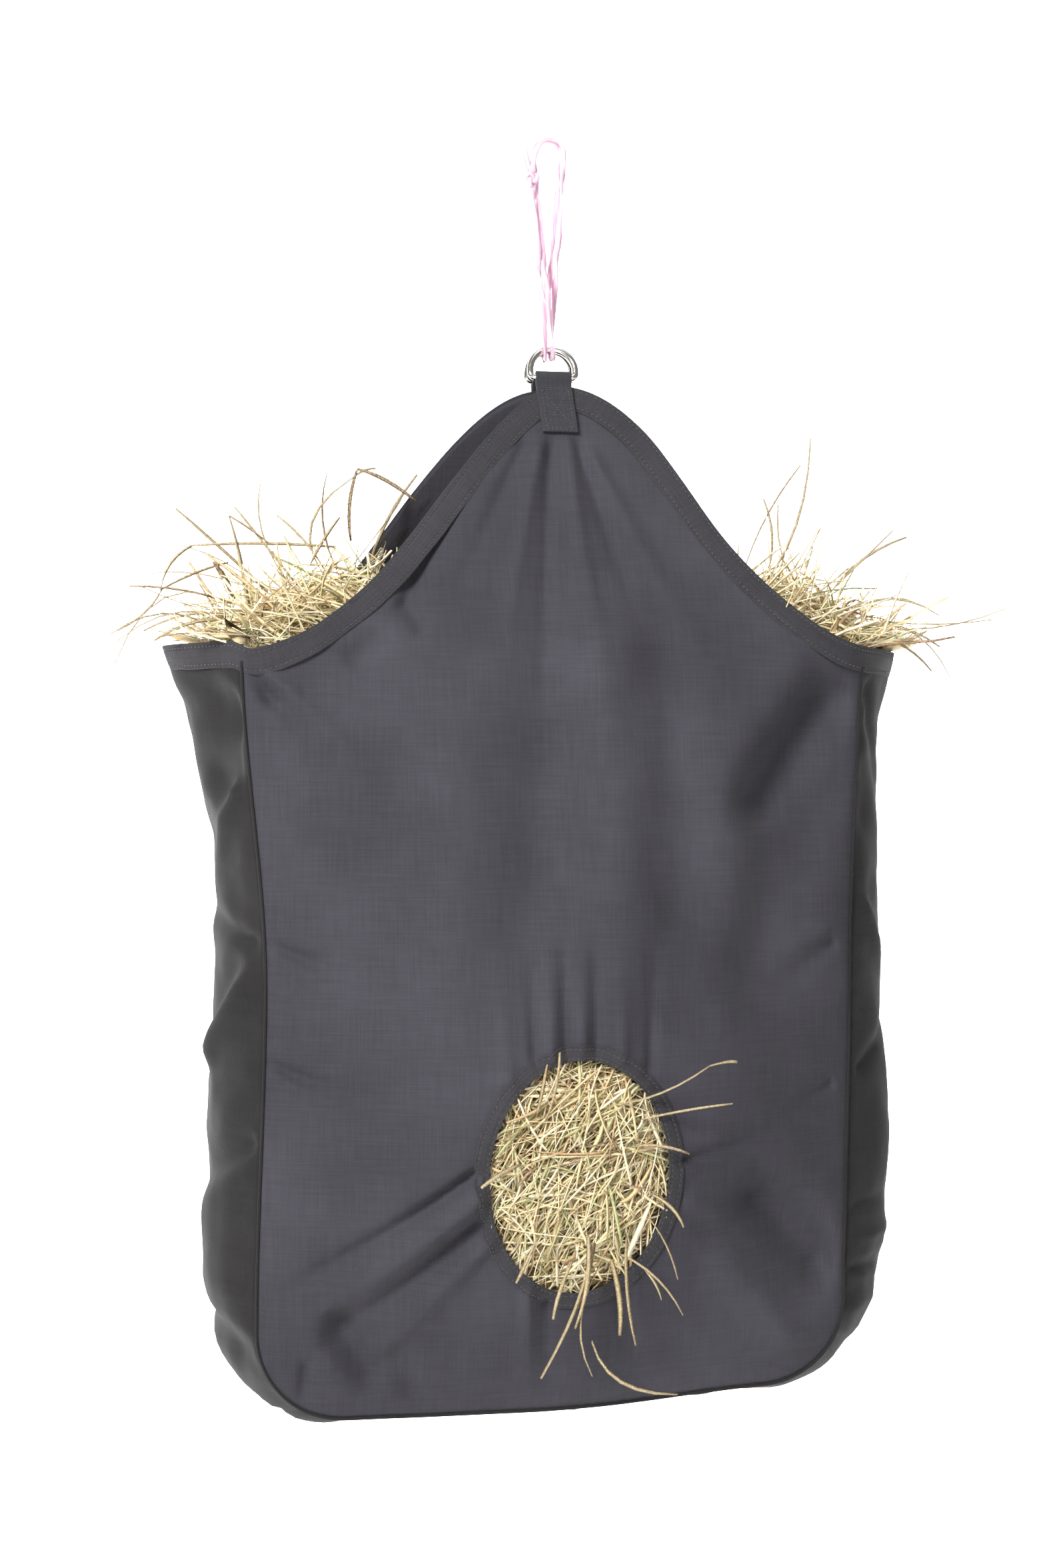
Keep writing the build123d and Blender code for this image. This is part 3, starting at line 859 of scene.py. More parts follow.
@dataclass
class BagShape:
    """Sizes of the stuffed bag and the surfaces that its cloth follows, in millimetres."""

    half_width: float = 213.0
    half_depth: float = 76.0
    corner: float = 58.0
    crown: float = 44.0
    peak_depth: float = 6.46
    lean: float = math.radians(15.74)
    cloth: float = 1.2
    fold_gain: float = 1.5
    peak: float = field(init=False)
    side: float = field(init=False)
    seam: float = field(init=False)

    def __post_init__(self) -> None:
        """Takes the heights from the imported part."""
        self.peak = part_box("mouth_binding_front")[1].z / MM
        self.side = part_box("mouth_binding_left")[1].z / MM
        self.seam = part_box("front_panel")[0].z / MM

    @property
    def z_corner(self) -> float:
        """Height where the lower corners begin."""
        return self.seam + self.corner

    def edge_depth(self, z: np.ndarray) -> np.ndarray:
        """Distance of a panel's side edge from the middle plane."""
        rise = self.peak - self.side
        drop = np.clip((self.peak - z) / rise, 0, 1)
        start = math.tan(self.lean) * rise
        return self.peak_depth + start * drop + (self.half_depth - self.peak_depth - start) * drop ** 2

    def crown_depth(self, z: np.ndarray) -> np.ndarray:
        """How far the middle of a panel stands out past its side edges."""
        top = self.side + (self.peak - self.side) / 2
        drop = np.clip((top - z) / (top - self.seam), 0, 1)
        return self.crown * np.sin(math.pi * drop ** 1.3)

    def mouth(self, x: np.ndarray, face: Face) -> np.ndarray:
        """Height of a panel's mouth edge."""
        turn = np.clip(np.abs(x) / self.half_width, 0, 1)
        plain = self.side + (self.peak - self.side) * (1 + np.cos(math.pi * turn)) / 2
        reach = np.arange(-14, 15, 2.0)
        weight = np.exp(-(reach / 8) ** 2)
        shift = sum(w * np.interp(x + r, face.mouth_x, face.mouth_shift) for r, w in zip(reach, weight))
        return plain + shift / weight.sum()

    def seam_reach(self, z: np.ndarray, right: np.ndarray, face: Face) -> np.ndarray:
        """Distance of the side seam from the middle at a height, on the left or the right."""
        middle = (self.side + self.z_corner) / 2
        reach = []
        for top, waist, low in face.half_widths:
            upper = waist + (top - waist) * smooth_step((z - middle) / (self.side - middle))
            reach.append(np.where(z > middle, upper, waist + (low - waist) * smooth_step(
                (middle - z) / (middle - self.z_corner))))
        return np.where(right, reach[1], reach[0])

    def lifted(self, x: np.ndarray, z: np.ndarray, face: Face) -> np.ndarray:
        """Height after the bag's lower right is drawn up a little."""
        low = smooth_step((self.side - z) / (self.side - self.seam))
        return z + face.lift * smooth_step((x + 40) / 200) * low ** 3

    def from_seam(self, x: np.ndarray, z: np.ndarray, face: Face) -> np.ndarray:
        """Distance inwards from the side and bottom seams."""
        across = self.seam_reach(z, x > 0, face) - np.abs(x)
        above = z - self.seam
        round_off = self.corner - np.hypot(self.corner - across, self.corner - above)
        inside = (across < self.corner) & (above < self.corner)
        return np.where(inside, round_off, np.minimum(across, above))

    def panel(self, x: np.ndarray, z: np.ndarray, face: Face) -> np.ndarray:
        """Points of a panel's outer surface.

        Args:
            x: across the bag.
            z: height before the lower right is drawn up.
            face: the front or the back.

        Returns:
            Points in millimetres.
        """
        share = x / self.seam_reach(z, x > 0, face)
        depth = self.edge_depth(z) + self.crown_depth(z) * (1 - np.clip(share, -1, 1) ** 2) + self.cloth
        inward = np.maximum(self.from_seam(x, z, face), 0)
        hold = smooth_step(inward / 16)
        below_peak = smooth_step((self.peak - z - 4) / 40)
        relief = sum(fold.relief(x, z) for fold in face.folds)
        relief = relief * self.fold_gain + self.ripple(x, z, face)
        below_mouth = 0.12 + 0.88 * smooth_step((self.mouth(x, face) - 10 - z) / 26)
        lift = relief * (0.25 + 0.75 * hold) * below_mouth * below_peak
        lift = lift - 5.5 * np.exp(-inward / 9) * smooth_step(
            (self.side + 60 - z) / 90)
        away = face.turn_away * smooth_step((x - 20) / 180) * smooth_step((self.side + 40 - z) / 90)
        return np.stack([x, face.sign * (depth + lift - away), self.lifted(x, z, face)], axis=-1)

    def ripple(self, x: np.ndarray, z: np.ndarray, face: Face) -> np.ndarray:
        """Small unevenness of soft cloth over hay."""
        flat_x, flat_z = np.ravel(x), np.ravel(z)
        made = [3.0 * noise.noise((a / 70 + face.offset, b / 95, 0.3))
                + 1.1 * noise.noise((a / 26, b / 40 + face.offset, 4.1))
                + 0.35 * noise.noise((a / 11 + face.offset, b / 11, 9.0)) for a, b in zip(flat_x, flat_z)]
        return np.reshape(made, np.shape(x))

    def seam_point(self, share: np.ndarray, right: bool, face: Face) -> tuple[np.ndarray, ...]:
        """The seam line on one side of the bag.

        Args:
            share: 0 at the mouth to 1 at the middle of the bottom.
            right: which side.
            face: the front or the back.

        Returns:
            x, z, outward x, outward z and distance run.
        """
        fall = self.side - self.z_corner
        arc = math.pi / 2 * self.corner
        low_reach = face.half_widths[1 if right else 0][2]
        flat = low_reach - self.corner
        run = share * (fall + arc + flat)
        sign = 1 if right else -1
        z_down = self.side - np.clip(run, 0, fall)
        angle = np.clip((run - fall) / self.corner, 0, math.pi / 2)
        past = np.clip(run - fall - arc, 0, flat)
        x = np.where(run <= fall, self.seam_reach(z_down, np.full_like(run, right, bool), face),
                     flat + self.corner * np.cos(angle) - past)
        z = np.where(run <= fall, z_down, self.z_corner - self.corner * np.sin(angle))
        return sign * x, z, sign * np.cos(angle), -np.sin(angle), run


LEFT_BULGE = ((0, 55), (60, 38), (128, 28), (343, 36), (430, 38), (500, 22), (560, 11), (700, 10))
RIGHT_BULGE = ((0, 42), (50, 30), (128, 32), (343, 46), (430, 44), (500, 24), (560, 11), (700, 10))
GUSSET_FOLDS_LEFT = (
    Fold((34, -66), (100, -30), 24, -11.0),
    Fold((40, -50), (46, 10), 12, -5.0),
    Fold((282, -8), (222, -68), 11, 8.0, roll=0.5),
    Fold((200, -70), (170, 20), 10, -5.0, Taper.START),
    Fold((96, -64), (170, -10), 12, 5.0, Taper.START),
    Fold((330, -70), (380, 30), 14, -6.0, Taper.START, roll=0.4),
    Fold((470, -70), (440, 60), 10, -6.0),
    Fold((520, -72), (500, 10), 7, -5.0, Taper.START),
    Fold((120, 70), (190, 0), 12, -5.0, Taper.START),
    Fold((300, 70), (360, 0), 12, -5.0, Taper.START),
)
GUSSET_FOLDS_RIGHT = (
    Fold((24, -66), (120, -20), 14, -6.0, Taper.START),
    Fold((180, -66), (260, 0), 12, 4.0, Taper.START),
    Fold((300, -66), (240, 10), 10, -4.4, Taper.START),
    Fold((400, -72), (392, -10), 6, -5.0, Taper.START),
    Fold((424, -72), (416, -6), 6, 5.0, Taper.START),
    Fold((446, -72), (440, -10), 6, -6.0, Taper.START),
    Fold((470, -72), (462, 0), 7, 5.0, Taper.START),
    Fold((496, -72), (488, 0), 7, -6.0, Taper.START),
    Fold((150, 70), (220, 0), 12, -5.0, Taper.START),
    Fold((340, 70), (280, 0), 12, 5.0, Taper.START),
)


@dataclass
class Bag:
    """The sewn bag: panels, gusset, bindings, seams and stitches."""

    shape: BagShape
    panel_columns: int = 151
    panel_rows: int = 190
    gusset_rows: int = 280
    gusset_columns: int = 41
    binding_width: float = 18.0
    binding_thickness: float = 2.6
    hole_binding_width: float = 9.6
    stitch_pitch: float = 3.6
    stitch_length: float = 2.6

    def build(self, cloth: bpy.types.Material, side_cloth_painted_shade: bpy.types.Material, binding: bpy.types.Material,
              thread: bpy.types.Material) -> None:
        low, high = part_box("feed_hole_binding")
        self.hole_x = (low.x + high.x) / 2 / MM
        self.hole_z = (low.z + high.z) / 2 / MM
        self.hole_wide = (high.x - low.x) / 2 / MM - self.hole_binding_width
        self.hole_tall = (high.z - low.z) / 2 / MM - self.hole_binding_width
        front = self.panel_piece("front_cloth", FRONT, cloth, ["front_panel"], self.cut_hole)
        back = self.panel_piece("back_cloth", BACK, cloth, ["back_panel"], None)
        # The gusset is cut from the darker cloth, which is painted shade.
        gusset = self.gusset_piece(side_cloth_painted_shade)
        mouth = self.mouth_binding(binding)
        ring = self.hole_binding(binding)
        sewn = self.sewn_lines(thread)
        # The welts share the darker gusset cloth, which is painted shade.
        welts = self.welts(side_cloth_painted_shade)

    def panel_piece(self, name: str, face: Face, finish: bpy.types.Material, nodes: Sequence[str],
                    trim: Optional[Callable[[bmesh.types.BMesh], None]]) -> bpy.types.Object:
        """One panel as a bellied sheet with its folds."""
        shape = self.shape
        side_share = np.linspace(-1, 1, self.panel_columns)
        down = np.linspace(0, 1, self.panel_rows)
        right = side_share > 0
        low_reach = np.where(right, face.half_widths[1][2], face.half_widths[0][2])
        flat = low_reach - shape.corner
        arc = math.pi / 2 * shape.corner
        run = np.abs(side_share) * (flat + arc)
        angle = np.clip((run - flat) / shape.corner, 0, math.pi / 2)
        bottom_x = np.minimum(run, flat) + shape.corner * np.sin(angle)
        bottom_z = shape.z_corner - shape.corner * np.cos(angle)
        part = bottom_x / low_reach * np.sign(side_share)
        top_x = part * shape.seam_reach(np.full_like(part, shape.side), right, face)
        top_z = shape.mouth(top_x, face) - 2.0
        z = top_z[:, None] + (bottom_z - top_z)[:, None] * down[None, :]
        x = part[:, None] * shape.seam_reach(z, np.broadcast_to(right[:, None], z.shape), face)
        points = shape.panel(x, z, face) * MM
        uvs = np.stack([x, z], axis=-1) * MM
        bm = grid_mesh(points, uvs, facing=Vector((0, face.sign, 0)), trim=trim)
        piece = add_piece(name, bm, "bag", finish, nodes)
        add_solidify(piece, self.shape.cloth)
        return piece

    def cut_hole(self, bm: bmesh.types.BMesh) -> None:
        """Cuts the feed hole a little inside its binding, and rounds the cut."""
        margin = 4.0

        def reach(co: Vector) -> float:
            """1 on the cut oval, less inside it."""
            return math.hypot((co.x / MM - self.hole_x) / (self.hole_wide + margin),
                              (co.z / MM - self.hole_z - self.hole_lift()) / (self.hole_tall + margin))

        gone = [f for f in bm.faces if reach(f.calc_center_median()) < 1]
        bmesh.ops.delete(bm, geom=gone, context="FACES")
        for vert in bm.verts:
            if vert.is_boundary and reach(vert.co) < 1.15:
                share = reach(vert.co)
                vert.co.x = (self.hole_x + (vert.co.x / MM - self.hole_x) / share) * MM
                centre = self.hole_z + self.hole_lift()
                vert.co.z = (centre + (vert.co.z / MM - centre) / share) * MM

    def hole_lift(self) -> float:
        """How far the drawn-up lower right moves the feed hole's centre."""
        place = np.array([float(self.hole_z)])
        return float(self.shape.lifted(np.array([0.0]), place, FRONT)[0] - self.hole_z)

    def gusset_point(self, share: np.ndarray, across: np.ndarray, right: bool) -> np.ndarray:
        """Points of the gusset's outer face.

        Args:
            share: 0 at the mouth to 1 at the middle of the bottom.
            across: -1 at the front seam to 1 at the back seam.
            right: which side of the bag.

        Returns:
            Points in millimetres.
        """
        shape = self.shape
        ends = []
        for face in (FRONT, BACK):
            x, z, out_x, out_z, run = shape.seam_point(share, right, face)
            ends.append(shape.panel(x, z, face))
        weight = ((across + 1) / 2)[..., None]
        base = ends[0] * (1 - weight) + ends[1] * weight
        table = RIGHT_BULGE if right else LEFT_BULGE
        knots, sizes = zip(*table)
        bulge = np.interp(run, knots, sizes)
        power = 1.3 + 0.9 * smooth_step(run / 110)
        out = bulge * (1 - np.abs(across) ** power)
        depth = across * shape.half_depth
        folds = GUSSET_FOLDS_RIGHT if right else GUSSET_FOLDS_LEFT
        relief = sum(fold.relief(run, depth) for fold in folds)
        seam_hold = smooth_step((1 - np.abs(across)) / 0.16)
        pucker = 1.3 * np.sin(run / 3.9 + 3 * np.sin(run / 37)) * np.exp(-(1 - np.abs(across)) / 0.16)
        flat_run, flat_depth = np.ravel(run), np.ravel(depth)
        uneven = np.reshape([3.2 * noise.noise((a / 55, b / 45, 2.0 + right))
                             + noise.noise((a / 20, b / 18, 7.0))
                             for a, b in zip(flat_run, flat_depth)], np.shape(run))
        reach = out + (relief + uneven) * seam_hold + pucker * seam_hold
        outward = np.stack([out_x, np.zeros_like(out_x), out_z], axis=-1)
        return base + outward * reach[..., None]

    def gusset_piece(self, finish: bpy.types.Material) -> bpy.types.Object:
        """The strip down the left side, under the bag and up the right side."""
        half = self.gusset_rows // 2
        share = np.concatenate([np.linspace(0.004, 1, half), np.linspace(1, 0.004, half)[1:]])
        across = np.linspace(-1, 1, self.gusset_columns)
        grid_share, grid_across = np.meshgrid(share, across, indexing="ij")
        left = self.gusset_point(grid_share[:half], grid_across[:half], False)
        right = self.gusset_point(grid_share[half:], grid_across[half:], True)
        meeting = self.gusset_point(grid_share[half - 1:half], grid_across[half - 1:half], True)
        middle = (meeting + left[-1:]) / 2
        points = np.concatenate([left[:-1], middle, right]) * MM
        for blend_row in range(1, 9):
            weight = 0.5 - blend_row / 18
            for row, other in ((half - 1 - blend_row, half - 1), (half - 1 + blend_row, half - 1)):
                points[row, :, 2] += (points[other, :, 2] - points[row, :, 2]) * weight * 0.6
        run = run_uvs(points)
        bm = grid_mesh(points, run, facing=None)
        centre = Vector((0, 0, (self.shape.side + self.shape.seam) / 2 * MM))
        total = sum(f.normal.dot(f.calc_center_median() - centre) * f.calc_area() for f in bm.faces)
        if total < 0:
            bmesh.ops.reverse_faces(bm, faces=bm.faces[:])
        piece = add_piece("gusset_cloth", bm, "bag", finish, ["gusset_left", "gusset_right"])
        add_solidify(piece, self.shape.cloth)
        return piece

    def mouth_frames(self) -> tuple[np.ndarray, np.ndarray, np.ndarray]:
        """The whole mouth edge as a closed line, with the directions down the cloth and out of it."""
        shape = self.shape
        edges, lower = [], []
        for face in (FRONT, BACK):
            left = -shape.seam_reach(np.array([shape.side]), np.array([False]), face)[0]
            right = shape.seam_reach(np.array([shape.side]), np.array([True]), face)[0]
            x = np.linspace(left + 3, right - 3, 190)
            z = shape.mouth(x, face)
            slope = np.gradient(z, x)
            long = np.hypot(1, slope)
            edge = shape.panel(x, z, face)
            below = shape.panel(x + slope / long * 6, z - 6 / long, face)
            edges.append(edge)
            lower.append(below)
        sides, side_low = [], []
        for right in (True, False):
            across = np.linspace(-0.93, 0.93, 64)
            edge = self.gusset_point(np.full_like(across, 0.0), across, right)
            below = self.gusset_point(np.full_like(across, 0.012), across, right)
            sides.append(edge)
            side_low.append(below)
        edge = np.concatenate([edges[0], sides[0], edges[1][::-1], sides[1][::-1]])
        below = np.concatenate([lower[0], side_low[0], lower[1][::-1], side_low[1][::-1]])
        gaps = np.linalg.norm(np.diff(np.vstack([edge, edge[:1]]), axis=0), axis=1)
        step = np.concatenate([[0], np.cumsum(gaps)])
        even = np.linspace(0, step[-1], 560)
        edge, below = (np.stack([np.interp(even, step, np.append(line[:, k], line[0, k]))
                                 for k in range(3)], axis=1)
                       for line in (edge, below))
        edge, below = self.closed_smooth(edge, 2), self.closed_smooth(below, 2)
        down = self.closed_smooth(unit(below - edge), 5)
        tangent = unit(np.roll(edge[:-1], -1, axis=0) - np.roll(edge[:-1], 1, axis=0))
        tangent = np.vstack([tangent, tangent[:1]])
        out = self.closed_smooth(unit(np.cross(tangent, down)), 4)
        centre = np.array([0, 0, 0])
        if np.sum((edge - centre)[:, :2] * out[:, :2]) < 0:
            out = -out
        return edge, unit(down), unit(out)

    @staticmethod
    def closed_smooth(line: np.ndarray, reach: int) -> np.ndarray:
        """A closed line of values averaged with its neighbours; the last row repeats the first."""
        ring = line[:-1]
        made = sum(np.roll(ring, shift, axis=0) for shift in range(-reach, reach + 1)) / (2 * reach + 1)
        return np.vstack([made, made[:1]])

    def tape(self, name: str, edge: np.ndarray, across: np.ndarray, out: np.ndarray, width: float,
             lines: Sequence[float], finish: bpy.types.Material, nodes: Sequence[str]) -> bpy.types.Object:
        """A closed band of folded tape.

        Args:
            name: the piece's name.
            edge: points of its first edge; the last repeats the first.
            across: direction from the first edge to the other at each point.
            out: direction out of the cloth.
            width: width in millimetres.
            lines: distances of the stitch lines from the first edge.
            finish: its material.
            nodes: CAD nodes it stands for.

        Returns:
            The piece.
        """
        angle = np.linspace(0, 2 * math.pi, 45)
        half = width / 2
        along = half - half * np.sign(np.cos(angle)) * np.abs(np.cos(angle)) ** 0.55
        proud = self.binding_thickness / 2 * np.sign(np.sin(angle)) * np.abs(np.sin(angle)) ** 0.4
        dent = sum(0.45 * np.exp(-((along - line) / 0.9) ** 2) for line in lines)
        proud = proud - np.sign(proud) * dent
        run = np.concatenate([[0], np.cumsum(np.linalg.norm(np.diff(edge, axis=0), axis=1))])
        wave = 0.35 * np.sin(run / 6.1) + 0.3 * np.sin(run / 17.0 + 1.2)
        wave = wave * smooth_step(run / 20) * smooth_step((run[-1] - run) / 20)
        height = proud[None, :] * (1 + 0.14 * wave[:, None]) - self.binding_thickness / 2 * 0.5
        span = along[None, :] + 0.5 * wave[:, None] * (along[None, :] / width)
        points = edge[:, None] + across[:, None] * span[..., None] + out[:, None] * height[..., None]
        points[-1] = points[0]
        points[:, -1] = points[:, 0]
        points = points * MM
        bm = grid_mesh(points, run_uvs(points), closed=True)
        return add_piece(name, bm, "bag", finish, nodes)

    def mouth_binding(self, finish: bpy.types.Material) -> bpy.types.Object:
        """Wide folded tape round the whole mouth."""
        self.mouth_line = self.mouth_frames()
        edge, down, out = self.mouth_line
        names = ["mouth_binding_front", "mouth_binding_back", "mouth_binding_left", "mouth_binding_right"]
        return self.tape("mouth_binding", edge + out * 0.9, down, out, self.binding_width, (3.0, 15.2),
                         finish, names)

    def hole_frames(self) -> tuple[np.ndarray, np.ndarray, np.ndarray]:
        """The feed hole's edge, with the directions away from the hole and out of the cloth."""
        angle = np.linspace(0, 2 * math.pi, 181)
        rings = []
        for margin in (0.0, self.hole_binding_width):
            x = self.hole_x + (self.hole_wide + margin) * np.cos(angle)
            z = self.hole_z + (self.hole_tall + margin) * np.sin(angle)
            rings.append(self.shape.panel(x, z, FRONT))
        across = unit(rings[1] - rings[0])
        tangent = unit(np.roll(rings[0][:-1], -1, axis=0) - np.roll(rings[0][:-1], 1, axis=0))
        tangent = np.vstack([tangent, tangent[:1]])
        out = unit(np.cross(tangent, across))
        if out[:, 1].sum() > 0:
            out = -out
        return rings[0], across, self.closed_smooth(out, 3)

    def hole_binding(self, finish: bpy.types.Material) -> bpy.types.Object:
        """Flat tape round the feed hole."""
        self.hole_line = self.hole_frames()
        edge, across, out = self.hole_line
        return self.tape("feed_hole_tape", edge + out * 1.3, across, out, self.hole_binding_width + 0.8,
                         (1.8, 8.0), finish, ["feed_hole_binding"])

    def stitch_row(self, edge: np.ndarray, across: np.ndarray, out: np.ndarray, line: float,
                   rise: float) -> np.ndarray:
        """Centre, direction and outward direction of the stitches in one row."""
        row = edge + across * line + out * rise
        run = np.concatenate([[0], np.cumsum(np.linalg.norm(np.diff(row, axis=0), axis=1))])
        count = int(run[-1] / self.stitch_pitch)
        at = (np.arange(count) + 0.5) * run[-1] / count
        tangent = unit(np.gradient(row, axis=0))
        picked = [np.stack([np.interp(at, run, line_set[:, k]) for k in range(3)], axis=1)
                  for line_set in (row, tangent, out)]
        return np.stack(picked, axis=1)

    def sewn_lines(self, finish: bpy.types.Material) -> list[bpy.types.Object]:
        """The rows of stitches on the mouth's and the feed hole's bindings."""
        edge, down, out = self.mouth_line
        mouth_rows = np.concatenate([self.stitch_row(edge, down, out, line, 1.35) for line in (3.0, 15.2)])
        made = [stitches("mouth_stitches", mouth_rows, STITCH_RADIUS, self.stitch_length, finish, ())]
        edge, across, out = self.hole_line
        hole_rows = np.concatenate([self.stitch_row(edge, across, out, line, 1.65) for line in (1.8, 8.0)])
        made.append(stitches("feed_hole_stitches", hole_rows, STITCH_RADIUS, self.stitch_length, finish,
                             ["feed_hole_stitching"]))
        return made

    def welts(self, finish: bpy.types.Material) -> list[bpy.types.Object]:
        """Thin turned-in welts where the panels meet the gusset."""
        made = []
        for name, face in (("front_seam_welt", FRONT), ("back_seam_welt", BACK)):
            halves = []
            for right in (False, True):
                share = np.linspace(0.02, 1, 180)
                x, z, out_x, out_z, _ = self.shape.seam_point(share, right, face)
                points = self.shape.panel(x, z, face)
                outward = np.stack([out_x, np.full_like(out_x, face.sign), out_z], axis=-1)
                halves.append(points + unit(outward) * 0.7)
            middle = (halves[0][-1] + halves[1][-1]) / 2
            path = np.vstack([halves[0][:-1], middle, halves[1][::-1][1:]]) * MM
            _, side, normal = line_frames(path, np.array([0.0, 1.0, 0.0]))
            thick = np.full(len(path), 1.25 * MM)
            points = tube_points(path, side, normal, thick, thick, 2, 0.1, np.zeros(len(path)), 10)
            bm = grid_mesh(points, run_uvs(points), closed=True, capped=True)
            made.append(add_piece(name, bm, "bag", finish))
        return made


# --- Webbing tabs ------------------------------------------------------------------------------
@dataclass
class WebbingTab:
    """Webbing folded round a ring's bar and box-stitched to its panel."""

    side: int
    name: str
    nodes: tuple
    width: float = 25.0
    thickness: float = 1.5
    bore: float = 2.7
    length: float = 42.0
    lean: float = math.radians(15.74)
    skew: float = 0.09
    inset: float = 3.0

    def placed(self, local: np.ndarray) -> np.ndarray:
        """Points drawn upright at the bar, leaned and put in place; millimetres in and out."""
        low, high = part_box("front_d_ring" if self.side < 0 else "back_d_ring")
        bar_z = low.z / MM + 2.4
        bar_y = (low.y if self.side < 0 else high.y) / MM - self.side * 2.4
        x, y, z = local[..., 0], local[..., 1], local[..., 2]
        y = y * -self.side
        turn = self.side * self.lean
        turned_y = y * math.cos(turn) - z * math.sin(turn)
        turned_z = y * math.sin(turn) + z * math.cos(turn)
        skew = self.skew * np.clip(-z - 6, 0, None)
        return np.stack([x + skew, turned_y + bar_y, turned_z + bar_z], axis=-1)

    def build(self, webbing: bpy.types.Material, thread: bpy.types.Material) -> None:
        """Makes the folded webbing and its stitching."""
        centre = self.bore + self.thickness / 2
        flat = self.thickness / 2 + 0.05
        turn = np.linspace(-0.72 * math.pi, 0.72 * math.pi, 34)
        bend = np.stack([-centre * np.sin(turn) * -1, centre * np.cos(turn)], axis=1)
        down_far = np.linspace(-self.length, -6.5, 30)
        front = np.stack([np.full(30, -flat), down_far], axis=1)
        back = np.stack([np.full(30, flat), down_far[::-1]], axis=1)
        profile = np.vstack([front, bend, back])
        for _ in range(2):
            profile[1:-1] = (profile[:-2] + 2 * profile[1:-1] + profile[2:]) / 4
        across = np.linspace(-self.width / 2, self.width / 2, 27)
        grid = np.zeros((len(profile), len(across), 3))
        grid[..., 0] = across[None, :]
        grid[..., 1] = profile[:, :1]
        grid[..., 2] = profile[:, 1:]
        grid[..., 1] += 0.18 * np.sin(grid[..., 2] / 3.1 + grid[..., 0] / 6) * (grid[..., 2] < -8)
        points = self.placed(grid) * MM
        bm = grid_mesh(points, run_uvs(points), facing=None)
        piece = add_piece(self.name, bm, "bag", webbing, [self.nodes[0]])
        add_solidify(piece, self.thickness, 0.0)
        rim = piece.modifiers.new("soft_edges", "BEVEL")
        rim.width = 0.3 * MM
        rim.segments = 2
        rim.limit_method = "ANGLE"
        self.box_stitch(thread)

    def box_stitch(self, finish: bpy.types.Material) -> None:
        """A box of stitches with a cross in it, and a bar below the ring."""
        half = self.width / 2 - self.inset
        low, high = self.inset - self.length, -10.5
        corners = [((-half, low), (half, low)), ((half, low), (half, high)), ((half, high), (-half, high)),
                   ((-half, high), (-half, low)), ((-half, low), (half, high)), ((half, low), (-half, high)),
                   ((-half, high + 1.6), (half, high + 1.6)), ((-half, low - 1.2), (half, low - 1.2))]
        rows = []
        surface = -self.thickness - 0.12
        for start, end in corners:
            length = math.hypot(end[0] - start[0], end[1] - start[1])
            count = max(2, int(length / 2.4))
            at = (np.arange(count) + 0.5) / count
            x = start[0] + (end[0] - start[0]) * at
            z = start[1] + (end[1] - start[1]) * at
            centre = np.stack([x, np.full(count, surface), z], axis=1)
            ahead = centre + np.array([(end[0] - start[0]) / length, 0, (end[1] - start[1]) / length])
            outer = centre + np.array([0, -1.0, 0])
            placed = self.placed(centre)
            rows.append(np.stack([placed, self.placed(ahead) - placed, self.placed(outer) - placed], axis=1))
        stitches(self.name + "_stitches", np.concatenate(rows), STITCH_RADIUS, 2.0, finish, [self.nodes[1]])


